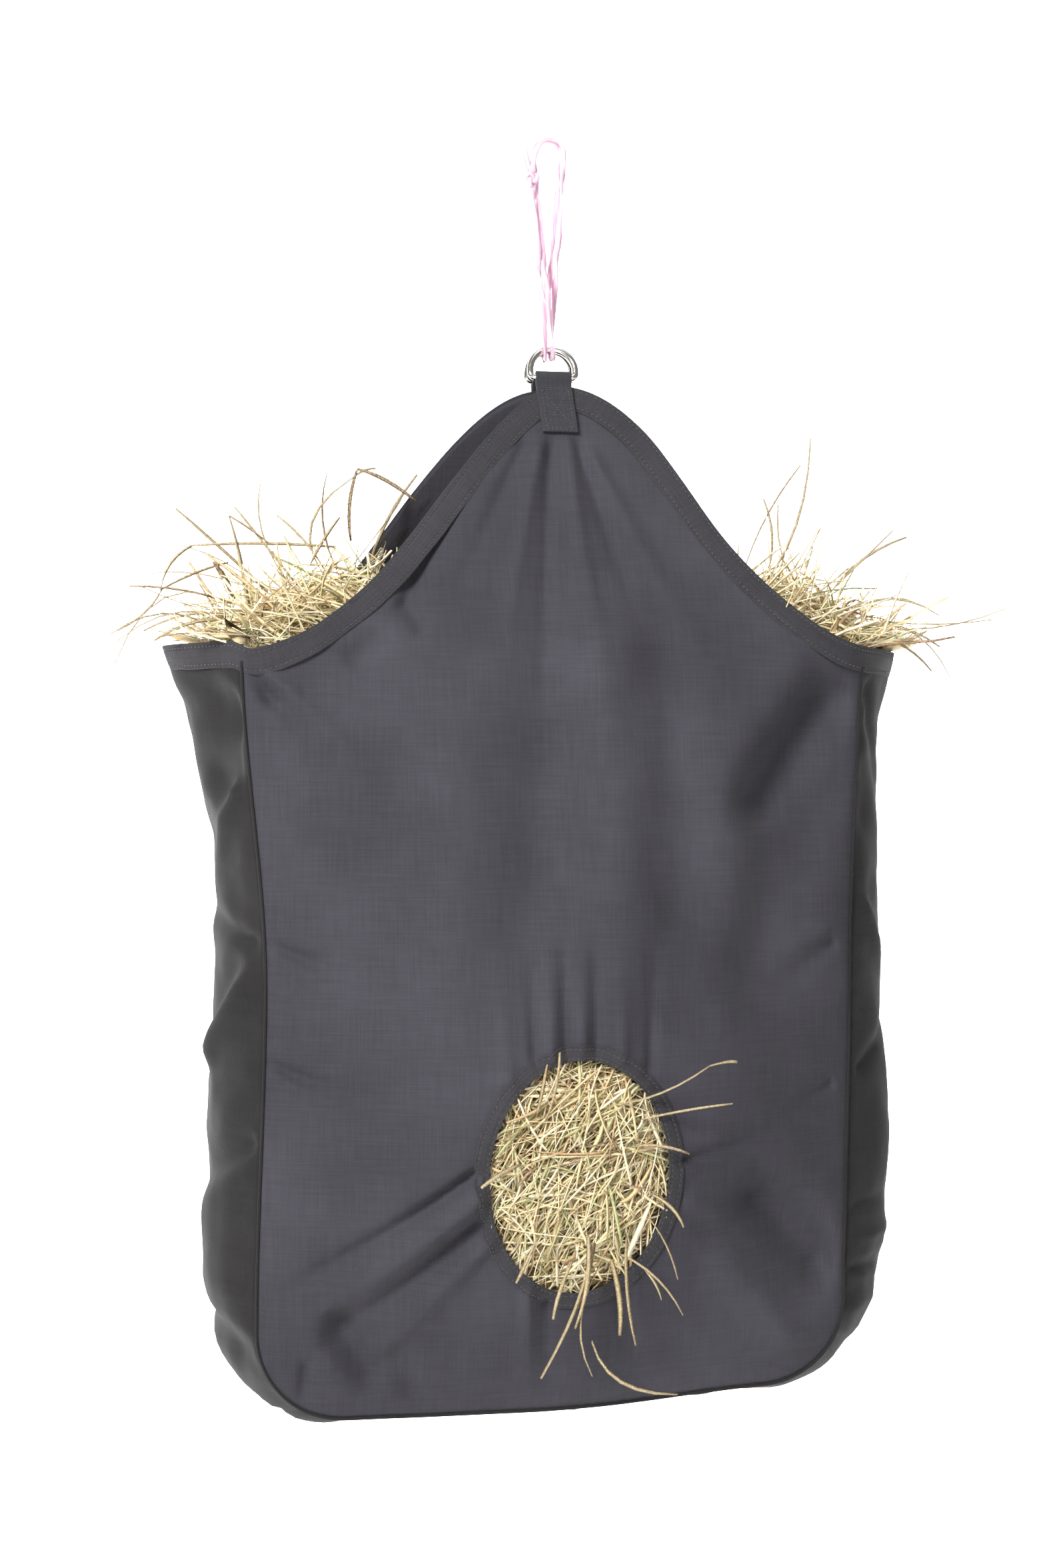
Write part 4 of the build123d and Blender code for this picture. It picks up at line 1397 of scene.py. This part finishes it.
# --- Hay ---------------------------------------------------------------------------------------
@dataclass
class Hay:
    """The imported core, the blades that show, and the loose stalks."""

    shape: BagShape
    bag: Bag
    segments: int = 6
    hole_blades: int = 1150
    heap_blades: int = 1000
    core_gap: float = 14.0
    core_off_skin: float = 9.0
    blade_off_skin: float = 5.0
    stray_width: float = 1.7
    stray_shade: float = 0.42

    def build(self, hay: bpy.types.Material, deep: bpy.types.Material, loose: bpy.types.Material) -> None:
        """Makes the core, the heaps, the feed hole's hay and the stalks."""
        # The core gets the dimmed hay, which is painted shade for the gaps between the blades.
        self.core(deep)
        self.in_hole(hay)
        self.heap("hay_left", -1, hay)
        self.heap("hay_right", 1, hay)
        self.strays(loose)

    def core(self, finish: bpy.types.Material) -> None:
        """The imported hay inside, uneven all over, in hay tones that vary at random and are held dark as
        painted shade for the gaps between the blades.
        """
        shape = self.shape
        rows = 60
        top = shape.side - 22
        low = shape.seam + self.core_gap
        share = np.linspace(0, 1, rows)
        z = low + (top - low) * share
        drop = np.clip(shape.z_corner - z, 0, None) / shape.corner
        squeeze = np.sqrt(np.clip(1 - drop ** 2, 0.02, 1))
        close = np.sqrt(np.clip(1 - np.clip((share - 0.955) / 0.045, 0, 1) ** 2, 0.0, 1))
        half_x = (145 + 68 * squeeze) * np.maximum(close, 0.02)
        half_y = (shape.edge_depth(z) + shape.crown_depth(z) - self.core_gap) * (0.35 + 0.65 * squeeze)
        half_y = half_y * np.maximum(close, 0.02)
        angle = np.linspace(0, 2 * math.pi, 121)
        x = half_x[:, None] * np.sign(np.cos(angle)) * np.abs(np.cos(angle)) ** 0.85
        y = half_y[:, None] * np.sign(np.sin(angle)) * np.abs(np.sin(angle)) ** 0.85
        points = np.stack([x, y, np.broadcast_to(z[:, None], x.shape)], axis=-1)
        rough = np.array([noise.noise((p[0] / 13, p[1] / 13, p[2] / 13)) * 2.2
                          for p in points.reshape(-1, 3)])
        inward = np.clip(rough.reshape(x.shape), -3, 1.5)
        scale = 1 + inward / np.maximum(np.hypot(x, y), 30)
        points[..., 0] *= scale
        points[..., 1] *= scale
        front_room = -shape.panel(points[..., 0], points[..., 2], FRONT)[..., 1] - self.core_off_skin
        back_room = shape.panel(points[..., 0], points[..., 2], BACK)[..., 1] - self.core_off_skin
        points[..., 1] = np.clip(points[..., 1], -front_room, back_room)
        in_hole = np.hypot((points[..., 0] - self.bag.hole_x) / (self.bag.hole_wide + 6),
                           (points[..., 2] - self.bag.hole_z) / (self.bag.hole_tall + 6)) < 1
        pocket = in_hole & (points[..., 1] < 0)
        points[..., 1] += np.where(pocket, 1.0, 0.0)
        points[:, -1] = points[:, 0]
        points = points * MM
        bm = grid_mesh(points, run_uvs(points), closed=True, capped=True)
        layer = bm.verts.layers.float.new("shade")
        for vert in bm.verts:
            # Low shades pick dark brown hay colours: painted shade for the gaps between the blades, with
            # random variation.
            vert[layer] = 0.08 + 0.14 * (noise.noise(vert.co * 140) + 1) / 2
        add_piece("hay_core", bm, "bag", finish, ["hay_packed"])

    def blades(self, name: str, start: np.ndarray, end: np.ndarray, bend: np.ndarray, wide: np.ndarray,
               shade: np.ndarray, twist: np.ndarray, finish: bpy.types.Material, nodes: Sequence[str],
               hold: Optional[Callable[[np.ndarray], np.ndarray]] = None) -> bpy.types.Object:
        """Flat bent blades.

        Args:
            name: the piece's name.
            start: blades x 3, one end of each.
            end: blades x 3, the other end.
            bend: blades x 3, how far the middle is pushed aside.
            wide: half width of each blade.
            shade: 0 to 1, its place in the finish's colours.
            twist: turn of the blade along its length.
            finish: the material.
            nodes: CAD nodes it stands for.
            hold: moves the points that would pass through cloth.

        Returns:
            The piece.
        """
        bm = bmesh.new()
        bmesh.ops.create_cone(bm, cap_ends=True, segments=3, radius1=1.0, radius2=1.0, depth=2.0)
        long_edges = [e for e in bm.edges if abs(e.verts[0].co.z - e.verts[1].co.z) > 1]
        bmesh.ops.subdivide_edges(bm, edges=long_edges, cuts=self.segments - 1)
        bm.verts.index_update()
        local = np.array([v.co for v in bm.verts], float)
        along = (local[:, 2] + 1) / 2
        axis = unit(end - start)
        helper = np.where(np.abs(axis[:, 2:3]) > 0.8, np.array([[1.0, 0, 0]]), np.array([[0, 0, 1.0]]))
        side = unit(np.cross(axis, helper))
        flat = unit(np.cross(side, axis))
        taper = 0.35 + 0.65 * np.sin(math.pi * (0.12 + 0.80 * along)) ** 0.7
        centre = (start[:, None] + (end - start)[:, None] * along[None, :, None]
                  + bend[:, None] * (4 * along * (1 - along))[None, :, None])
        angle = twist[:, None] * along[None, :] + twist[:, None] * 2.1
        cos_turn, sin_turn = np.cos(angle), np.sin(angle)
        first = local[None, :, 0] * wide[:, None] * taper[None, :]
        second = local[None, :, 1] * wide[:, None] * 0.36 * taper[None, :]
        places = (centre + (first * cos_turn - second * sin_turn)[..., None] * side[:, None]
                  + (first * sin_turn + second * cos_turn)[..., None] * flat[:, None])
        if hold is not None:
            places = hold(places)
        made = repeat_mesh(bm, places * MM)
        layer = made.verts.layers.float.new("shade")
        each = len(local)
        for index, vert in enumerate(made.verts):
            vert[layer] = float(shade[index // each])
        bmesh.ops.recalc_face_normals(made, faces=made.faces[:])
        return add_piece(name, made, "bag", finish, nodes)

    @staticmethod
    def shades(rng: np.random.Generator, count: int) -> np.ndarray:
        """Shades of a mix that is mostly straw, with some brown and some green."""
        shade = np.clip(rng.normal(0.52, 0.15, count), 0.12, 0.8)
        kind = rng.random(count)
        shade = np.where(kind < 0.10, rng.uniform(0.0, 0.2, count), shade)
        return np.where(kind > 0.88, rng.uniform(0.84, 1.0, count), shade)

    def in_hole(self, finish: bpy.types.Material) -> None:
        """Blades pressed against the feed hole from inside."""
        rng = np.random.default_rng(SEED + 1)
        count = self.hole_blades
        radius = np.sqrt(rng.random(count)) * 0.97
        turn = rng.uniform(0, 2 * math.pi, count)
        wide, tall = self.bag.hole_wide, self.bag.hole_tall
        x = self.bag.hole_x + wide * radius * np.cos(turn)
        z = self.bag.hole_z + tall * radius * np.sin(turn)
        skin = -self.shape.panel(x, z, FRONT)[:, 1]
        depth = skin - 14 + 13 * np.linspace(0, 1, count)
        heading = rng.uniform(0, math.pi, count)
        heading = np.where(rng.random(count) < 0.5, rng.normal(0.95, 0.5, count), heading)
        half = rng.uniform(11, 36, count)
        step_x, step_z = np.cos(heading), np.sin(heading)
        tilt = rng.normal(0, 0.07, count)
        start = np.stack([x - step_x * half, -depth + tilt * half, z - step_z * half], axis=1)
        end = np.stack([x + step_x * half, -depth - tilt * half, z + step_z * half], axis=1)
        for tip in (start, end):
            reach = np.hypot((tip[:, 0] - self.bag.hole_x) / (wide + 3),
                             (tip[:, 2] - self.bag.hole_z) / (tall + 3))
            over = np.maximum(reach, 1.0)
            tip[:, 0] = self.bag.hole_x + (tip[:, 0] - self.bag.hole_x) / over
            tip[:, 2] = self.bag.hole_z + (tip[:, 2] - self.bag.hole_z) / over
            tip[:, 1] = np.where(reach > 0.96, np.maximum(tip[:, 1], -(skin - 5)), tip[:, 1])
        bend = rng.normal(0, 2.4, (count, 3)) * (1, 0.6, 1)
        broad = rng.uniform(0.55, 1.35, count)
        broad = np.where(rng.random(count) < 0.18, rng.uniform(1.4, 2.3, count), broad)
        self.blades("hay_in_feed_hole", start, end, bend, broad, self.shades(rng, count),
                    rng.normal(0, 1.2, count), finish, ())

    def heap(self, name: str, sign: int, finish: bpy.types.Material) -> None:
        """Blades that stand out of one end of the mouth."""
        rng = np.random.default_rng(SEED + 7 + sign)
        count = self.heap_blades
        shape = self.shape
        base_x = sign * rng.uniform(104, 244, count)
        base_y = np.clip(rng.normal(-4, 28, count), -58, 58)
        crest_x = (104, 125, 150, 180, 205, 228, 246)
        crest_left = (44, 60, 58, 50, 40, 20, 4)
        crest_right = (34, 54, 60, 50, 38, 24, 8)
        crest = np.interp(np.abs(base_x), crest_x, crest_left if sign < 0 else crest_right)
        crest = crest * (1 - (base_y / 80) ** 2)
        base_z = shape.side - 22 + (crest + 10) * rng.beta(1.5, 1.1, count)
        out = rng.normal(0.30, 0.80, count) * sign
        up = rng.normal(0.22, 0.42, count)
        fore = rng.normal(-0.05, 0.45, count)
        way = unit(np.stack([out, fore, up], axis=1))
        length = rng.uniform(36, 96, count)
        tall = rng.random(count) < 0.14
        way[:, 2] = np.where(tall, np.abs(way[:, 2]) + 0.15, way[:, 2])
        length = np.where(tall, rng.uniform(80, 120, count), length)
        start = np.stack([base_x, base_y, base_z], axis=1) - way * (length * 0.45)[:, None]
        end = start + way * length[:, None]
        limit_low, limit_high = self.reach(sign)
        for tip in (start, end):
            tip[:, 0] = np.clip(tip[:, 0], limit_low, limit_high)
            tip[:, 2] = np.clip(tip[:, 2], -402, -222)
            tip[:, 1] = np.clip(tip[:, 1], -84, 84)
        bend = rng.normal(0, 5.0, (count, 3))
        bend[:, 2] += 3
        broad = rng.uniform(0.55, 1.35, count)
        broad = np.where(rng.random(count) < 0.16, rng.uniform(1.3, 2.1, count), broad)
        self.blades(name, start, end, bend, broad, self.shades(rng, count), rng.normal(0, 1.4, count), finish,
                    ["hay_heap_left" if sign < 0 else "hay_heap_right"], self.inside_mouth)

    def reach(self, sign: int) -> Pair:
        """Lowest and highest x that a heap's blades may have."""
        low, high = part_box("hay_stalks_left" if sign < 0 else "hay_stalks_right")
        return (low.x / MM + 6, -96.0) if sign < 0 else (96.0, high.x / MM - 6)

    def inside_mouth(self, places: np.ndarray) -> np.ndarray:
        """Keeps points that are lower than the mouth's edge between the panels and the gussets."""
        shape = self.shape
        x, y, z = places[..., 0], places[..., 1], places[..., 2]
        room = shape.edge_depth(z) - 6
        edge = np.where(y < 0, shape.mouth(x, FRONT), shape.mouth(x, BACK))
        low = z < edge + 4
        front_room = np.minimum(room, -shape.panel(x, z, FRONT)[..., 1] - self.blade_off_skin)
        back_room = np.minimum(room, shape.panel(x, z, BACK)[..., 1] - self.blade_off_skin)
        y = np.where(low, np.clip(y, -front_room, back_room), y)
        span = 205 + 40 * np.clip(1 - np.abs(y) / 76, 0, 1)
        right_span = np.minimum(span, 196 + 44 * (1 - np.abs(y) / 76))
        x = np.where(z < shape.side + 4, np.clip(x, -span, right_span), x)
        return np.stack([x, y, z], axis=-1)

    def strays(self, finish: bpy.types.Material) -> None:
        """Single stalks that stick out, each listed one by one, with a few finer ones beside them."""
        sets = {
            "hay_strays_left": (STRAYS_LEFT, "hay_stalks_left"),
            "hay_strays_right": (STRAYS_RIGHT, "hay_stalks_right"),
            "hay_strays_feed_hole": (STRAYS_HOLE, "hay_stalks_feed_hole"),
        }
        rng = np.random.default_rng(SEED + 3)
        for name, (rows, node) in sets.items():
            table = np.array([(*a, *b, *c, w, s) for a, b, c, w, s in rows], float)
            self.blades(name, table[:, 0:3], table[:, 3:6], table[:, 6:9], table[:, 9] * self.stray_width,
                        table[:, 10] * self.stray_shade, rng.normal(0, 0.8, len(table)), finish, [node])


# start, end, sideways push of the middle, half width, shade
STRAYS_LEFT = (
    ((-226, -20, -338), (-311, -26, -367), (-4, 0, 14), 0.9, 0.55),
    ((-239, -10, -333), (-295, -16, -313), (2, 0, -3), 0.8, 0.50),
    ((-271, -12, -319), (-301, -16, -348), (3, 0, -2), 0.8, 0.30),
    ((-251, -10, -289), (-272, -12, -320), (-4, 0, 3), 0.9, 0.60),
    ((-152, -8, -288), (-252, -10, -289), (0, 0, 2), 0.8, 0.60),
    ((-271, -12, -319), (-226, -10, -300), (0, 0, 2), 0.7, 0.40),
    ((-199, -10, -286), (-226, -12, -268), (0, 0, 1), 0.7, 0.55),
    ((-211, -10, -345), (-226, -12, -268), (2, 0, 0), 1.3, 0.95),
    ((-160, -8, -304), (-193, -10, -267), (2, 0, 2), 1.1, 0.70),
    ((-142, -10, -284), (-138, -10, -235), (-3, 0, 0), 1.0, 0.20),
    ((-97, -8, -255), (-138, -10, -234), (0, 0, 3), 1.0, 0.20),
    ((-222, -10, -326), (-236, -14, -300), (2, 0, 0), 2.6, 0.05),
    ((-170, -10, -300), (-150, -14, -268), (0, 0, 2), 0.8, 0.60),
    ((-220, -8, -330), (-303, -22, -372), (-8, 0, 26), 0.7, 0.30),
    ((-216, -6, -330), (-293, -18, -318), (0, 0, 4), 0.6, 0.24),
    ((-208, 6, -318), (-282, 0, -308), (0, 0, 6), 0.8, 0.62),
    ((-200, 10, -316), (-262, 4, -262), (-4, 0, 4), 0.8, 0.66),
    ((-196, 4, -322), (-268, -4, -286), (2, 0, 6), 0.6, 0.20),
    ((-186, -12, -312), (-205, -30, -248), (-8, 0, 0), 0.7, 0.70),
    ((-180, -8, -314), (-222, -10, -262), (-6, 0, 8), 0.6, 0.60),
    ((-160, 6, -306), (-141, -6, -240), (-18, 0, 2), 0.7, 0.66),
    ((-152, 6, -300), (-158, -2, -236), (-6, 0, 0), 0.6, 0.44),
    ((-141, -6, -240), (-124, 0, -232), (0, 0, 2), 0.7, 0.66),
    ((-132, 16, -316), (-92, 26, -232), (-4, 0, 4), 0.9, 0.70),
    ((-140, 10, -300), (-104, 20, -250), (4, 0, 4), 0.8, 0.16),
    ((-222, 20, -334), (-284, 44, -344), (0, 0, 6), 0.7, 0.55),
    ((-214, -24, -344), (-276, -40, -356), (0, -4, 8), 0.9, 0.60),
    ((-236, 0, -344), (-306, -6, -350), (0, 0, 12), 0.6, 0.72),
    ((-170, 20, -306), (-196, 26, -254), (-4, 0, 4), 0.6, 0.90),
)
STRAYS_RIGHT = (
    ((214, -14, -338), (330, -22, -325), (0, 0, -9), 1.1, 0.52),
    ((206, -8, -330), (322, -10, -333), (0, 0, -5), 0.7, 0.66),
    ((226, -4, -330), (283, -30, -376), (8, 0, 8), 0.8, 0.60),
    ((236, -6, -340), (288, -18, -384), (6, 0, 10), 0.6, 0.30),
    ((208, 10, -312), (265, 12, -272), (-4, 0, 4), 0.8, 0.70),
    ((200, 4, -318), (252, 4, -268), (2, 0, 2), 1.0, 0.62),
    ((214, 0, -330), (286, 0, -330), (0, 0, 12), 0.8, 0.90),
    ((150, -8, -312), (182, -24, -207), (8, 0, -8), 0.7, 0.66),
    ((140, -4, -296), (176, -20, -226), (-3, 0, 2), 0.8, 0.28),
    ((182, 10, -306), (226, 30, -250), (-2, 0, 3), 0.8, 0.88),
    ((160, 10, -300), (158, 14, -246), (5, 0, 0), 0.7, 0.62),
    ((172, 0, -300), (164, -4, -252), (-3, 0, 0), 0.6, 0.94),
    ((226, 16, -338), (300, 40, -350), (0, 0, 8), 0.8, 0.58),
    ((230, -12, -344), (268, -34, -372), (3, 0, 4), 0.8, 0.68),
)
STRAYS_HOLE = (
    ((22, -118, -662), (82, -134, -636), (0, 0, -5), 1.5, 0.68),
    ((82, -134, -636), (101, -132, -634), (0, 0, 1), 1.2, 0.60),
    ((40, -118, -672), (98, -132, -661), (0, 0, 1), 1.0, 0.70),
    ((8, -118, -752), (-28, -124, -838), (5, -3, 2), 2.1, 0.60),
    ((4, -120, -748), (-6, -126, -806), (3, -2, 0), 1.4, 0.66),
    ((14, -118, -764), (6, -124, -838), (-12, -4, 0), 0.7, 0.72),
    ((8, -112, -818), (66, -110, -856), (-10, -3, -8), 0.9, 0.74),
    ((20, -118, -764), (24, -124, -812), (2, -3, 0), 1.3, 0.64),
    ((30, -118, -750), (34, -128, -818), (-3, -2, 0), 0.8, 0.58),
    ((26, -120, -760), (66, -126, -800), (3, -2, 4), 0.7, 0.66),
    ((44, -118, -736), (62, -128, -776), (2, -2, 2), 1.2, 0.62),
    ((48, -118, -722), (66, -128, -742), (2, -2, 2), 0.9, 0.70),
    ((-40, -116, -700), (-68, -130, -712), (0, -2, 2), 1.1, 0.66),
    ((-24, -118, -672), (-16, -128, -626), (2, -2, 0), 1.4, 0.62),
    ((-30, -118, -668), (-24, -126, -634), (0, -2, 0), 0.9, 0.55),
    ((34, -118, -690), (70, -128, -694), (0, -2, 3), 0.7, 0.60),
    ((-6, -118, -764), (-20, -124, -800), (-2, -2, 0), 1.0, 0.70),
    ((-30, -118, -748), (-44, -122, -776), (0, -2, 0), 0.9, 0.64),
    ((40, -118, -768), (52, -124, -790), (2, -2, 0), 0.7, 0.90),
)


# --- Main --------------------------------------------------------------------------------------
def dress_rings(finish: bpy.types.Material) -> None:
    """Gives the two rings, which keep their CAD shape, their polished finish."""
    for name in ("front_d_ring", "back_d_ring"):
        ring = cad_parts[name]
        ring.data.materials.clear()
        ring.data.materials.append(finish)


def main() -> None:
    """Builds the studio and every piece, and reports each one."""
    logging.basicConfig(level=logging.INFO, format="%(name)s: %(message)s", stream=sys.stdout)
    Studio().build()
    log.info("studio is ready")
    TwineLoop().build(TwineFinish().material())
    log.info("twine loop is ready")
    dress_rings(MetalFinish().material())
    cloth = WovenFinish("charcoal_cloth", linear(43, 42, 47), linear(70, 68, 75)).material()
    # The gusset and the seam welts get a darker copy of the charcoal cloth: painted shade for the sides that
    # turn away from the light.
    side_cloth_painted_shade = WovenFinish("charcoal_gusset_painted_shade", linear(25, 24, 24), linear(43, 41, 41)).material()
    binding = WovenFinish("binding_twill", linear(38, 37, 40), linear(66, 64, 68), pitch=1.3, twill=0.8,
                          thread_depth=0.00032).material()
    webbing = WovenFinish("tab_webbing", linear(38, 38, 42), linear(68, 67, 73), pitch=1.6, twill=1.0,
                          thread_depth=0.0004).material()
    thread = ThreadFinish().material()
    shape = BagShape()
    bag = Bag(shape)
    bag.build(cloth, side_cloth_painted_shade, binding, thread)
    log.info("bag is ready")
    WebbingTab(-1, "front_tab", ("front_ring_tab", "front_tab_stitching")).build(webbing, thread)
    WebbingTab(1, "back_tab", ("back_ring_tab", "back_tab_stitching")).build(webbing, thread)
    log.info("tabs are ready")
    # The core's hay copy is dimmed to 0.8: painted shade for the gaps between the blades.
    Hay(shape, bag).build(HayFinish().material(), HayFinish("deep_hay_painted_shade", 0.8).material(),
                          HayFinish("loose_hay", 0.5).material())
    log.info("hay is ready")
    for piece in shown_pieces():
        log.info("piece %s", piece.name)


if __name__ == "__main__":
    main()
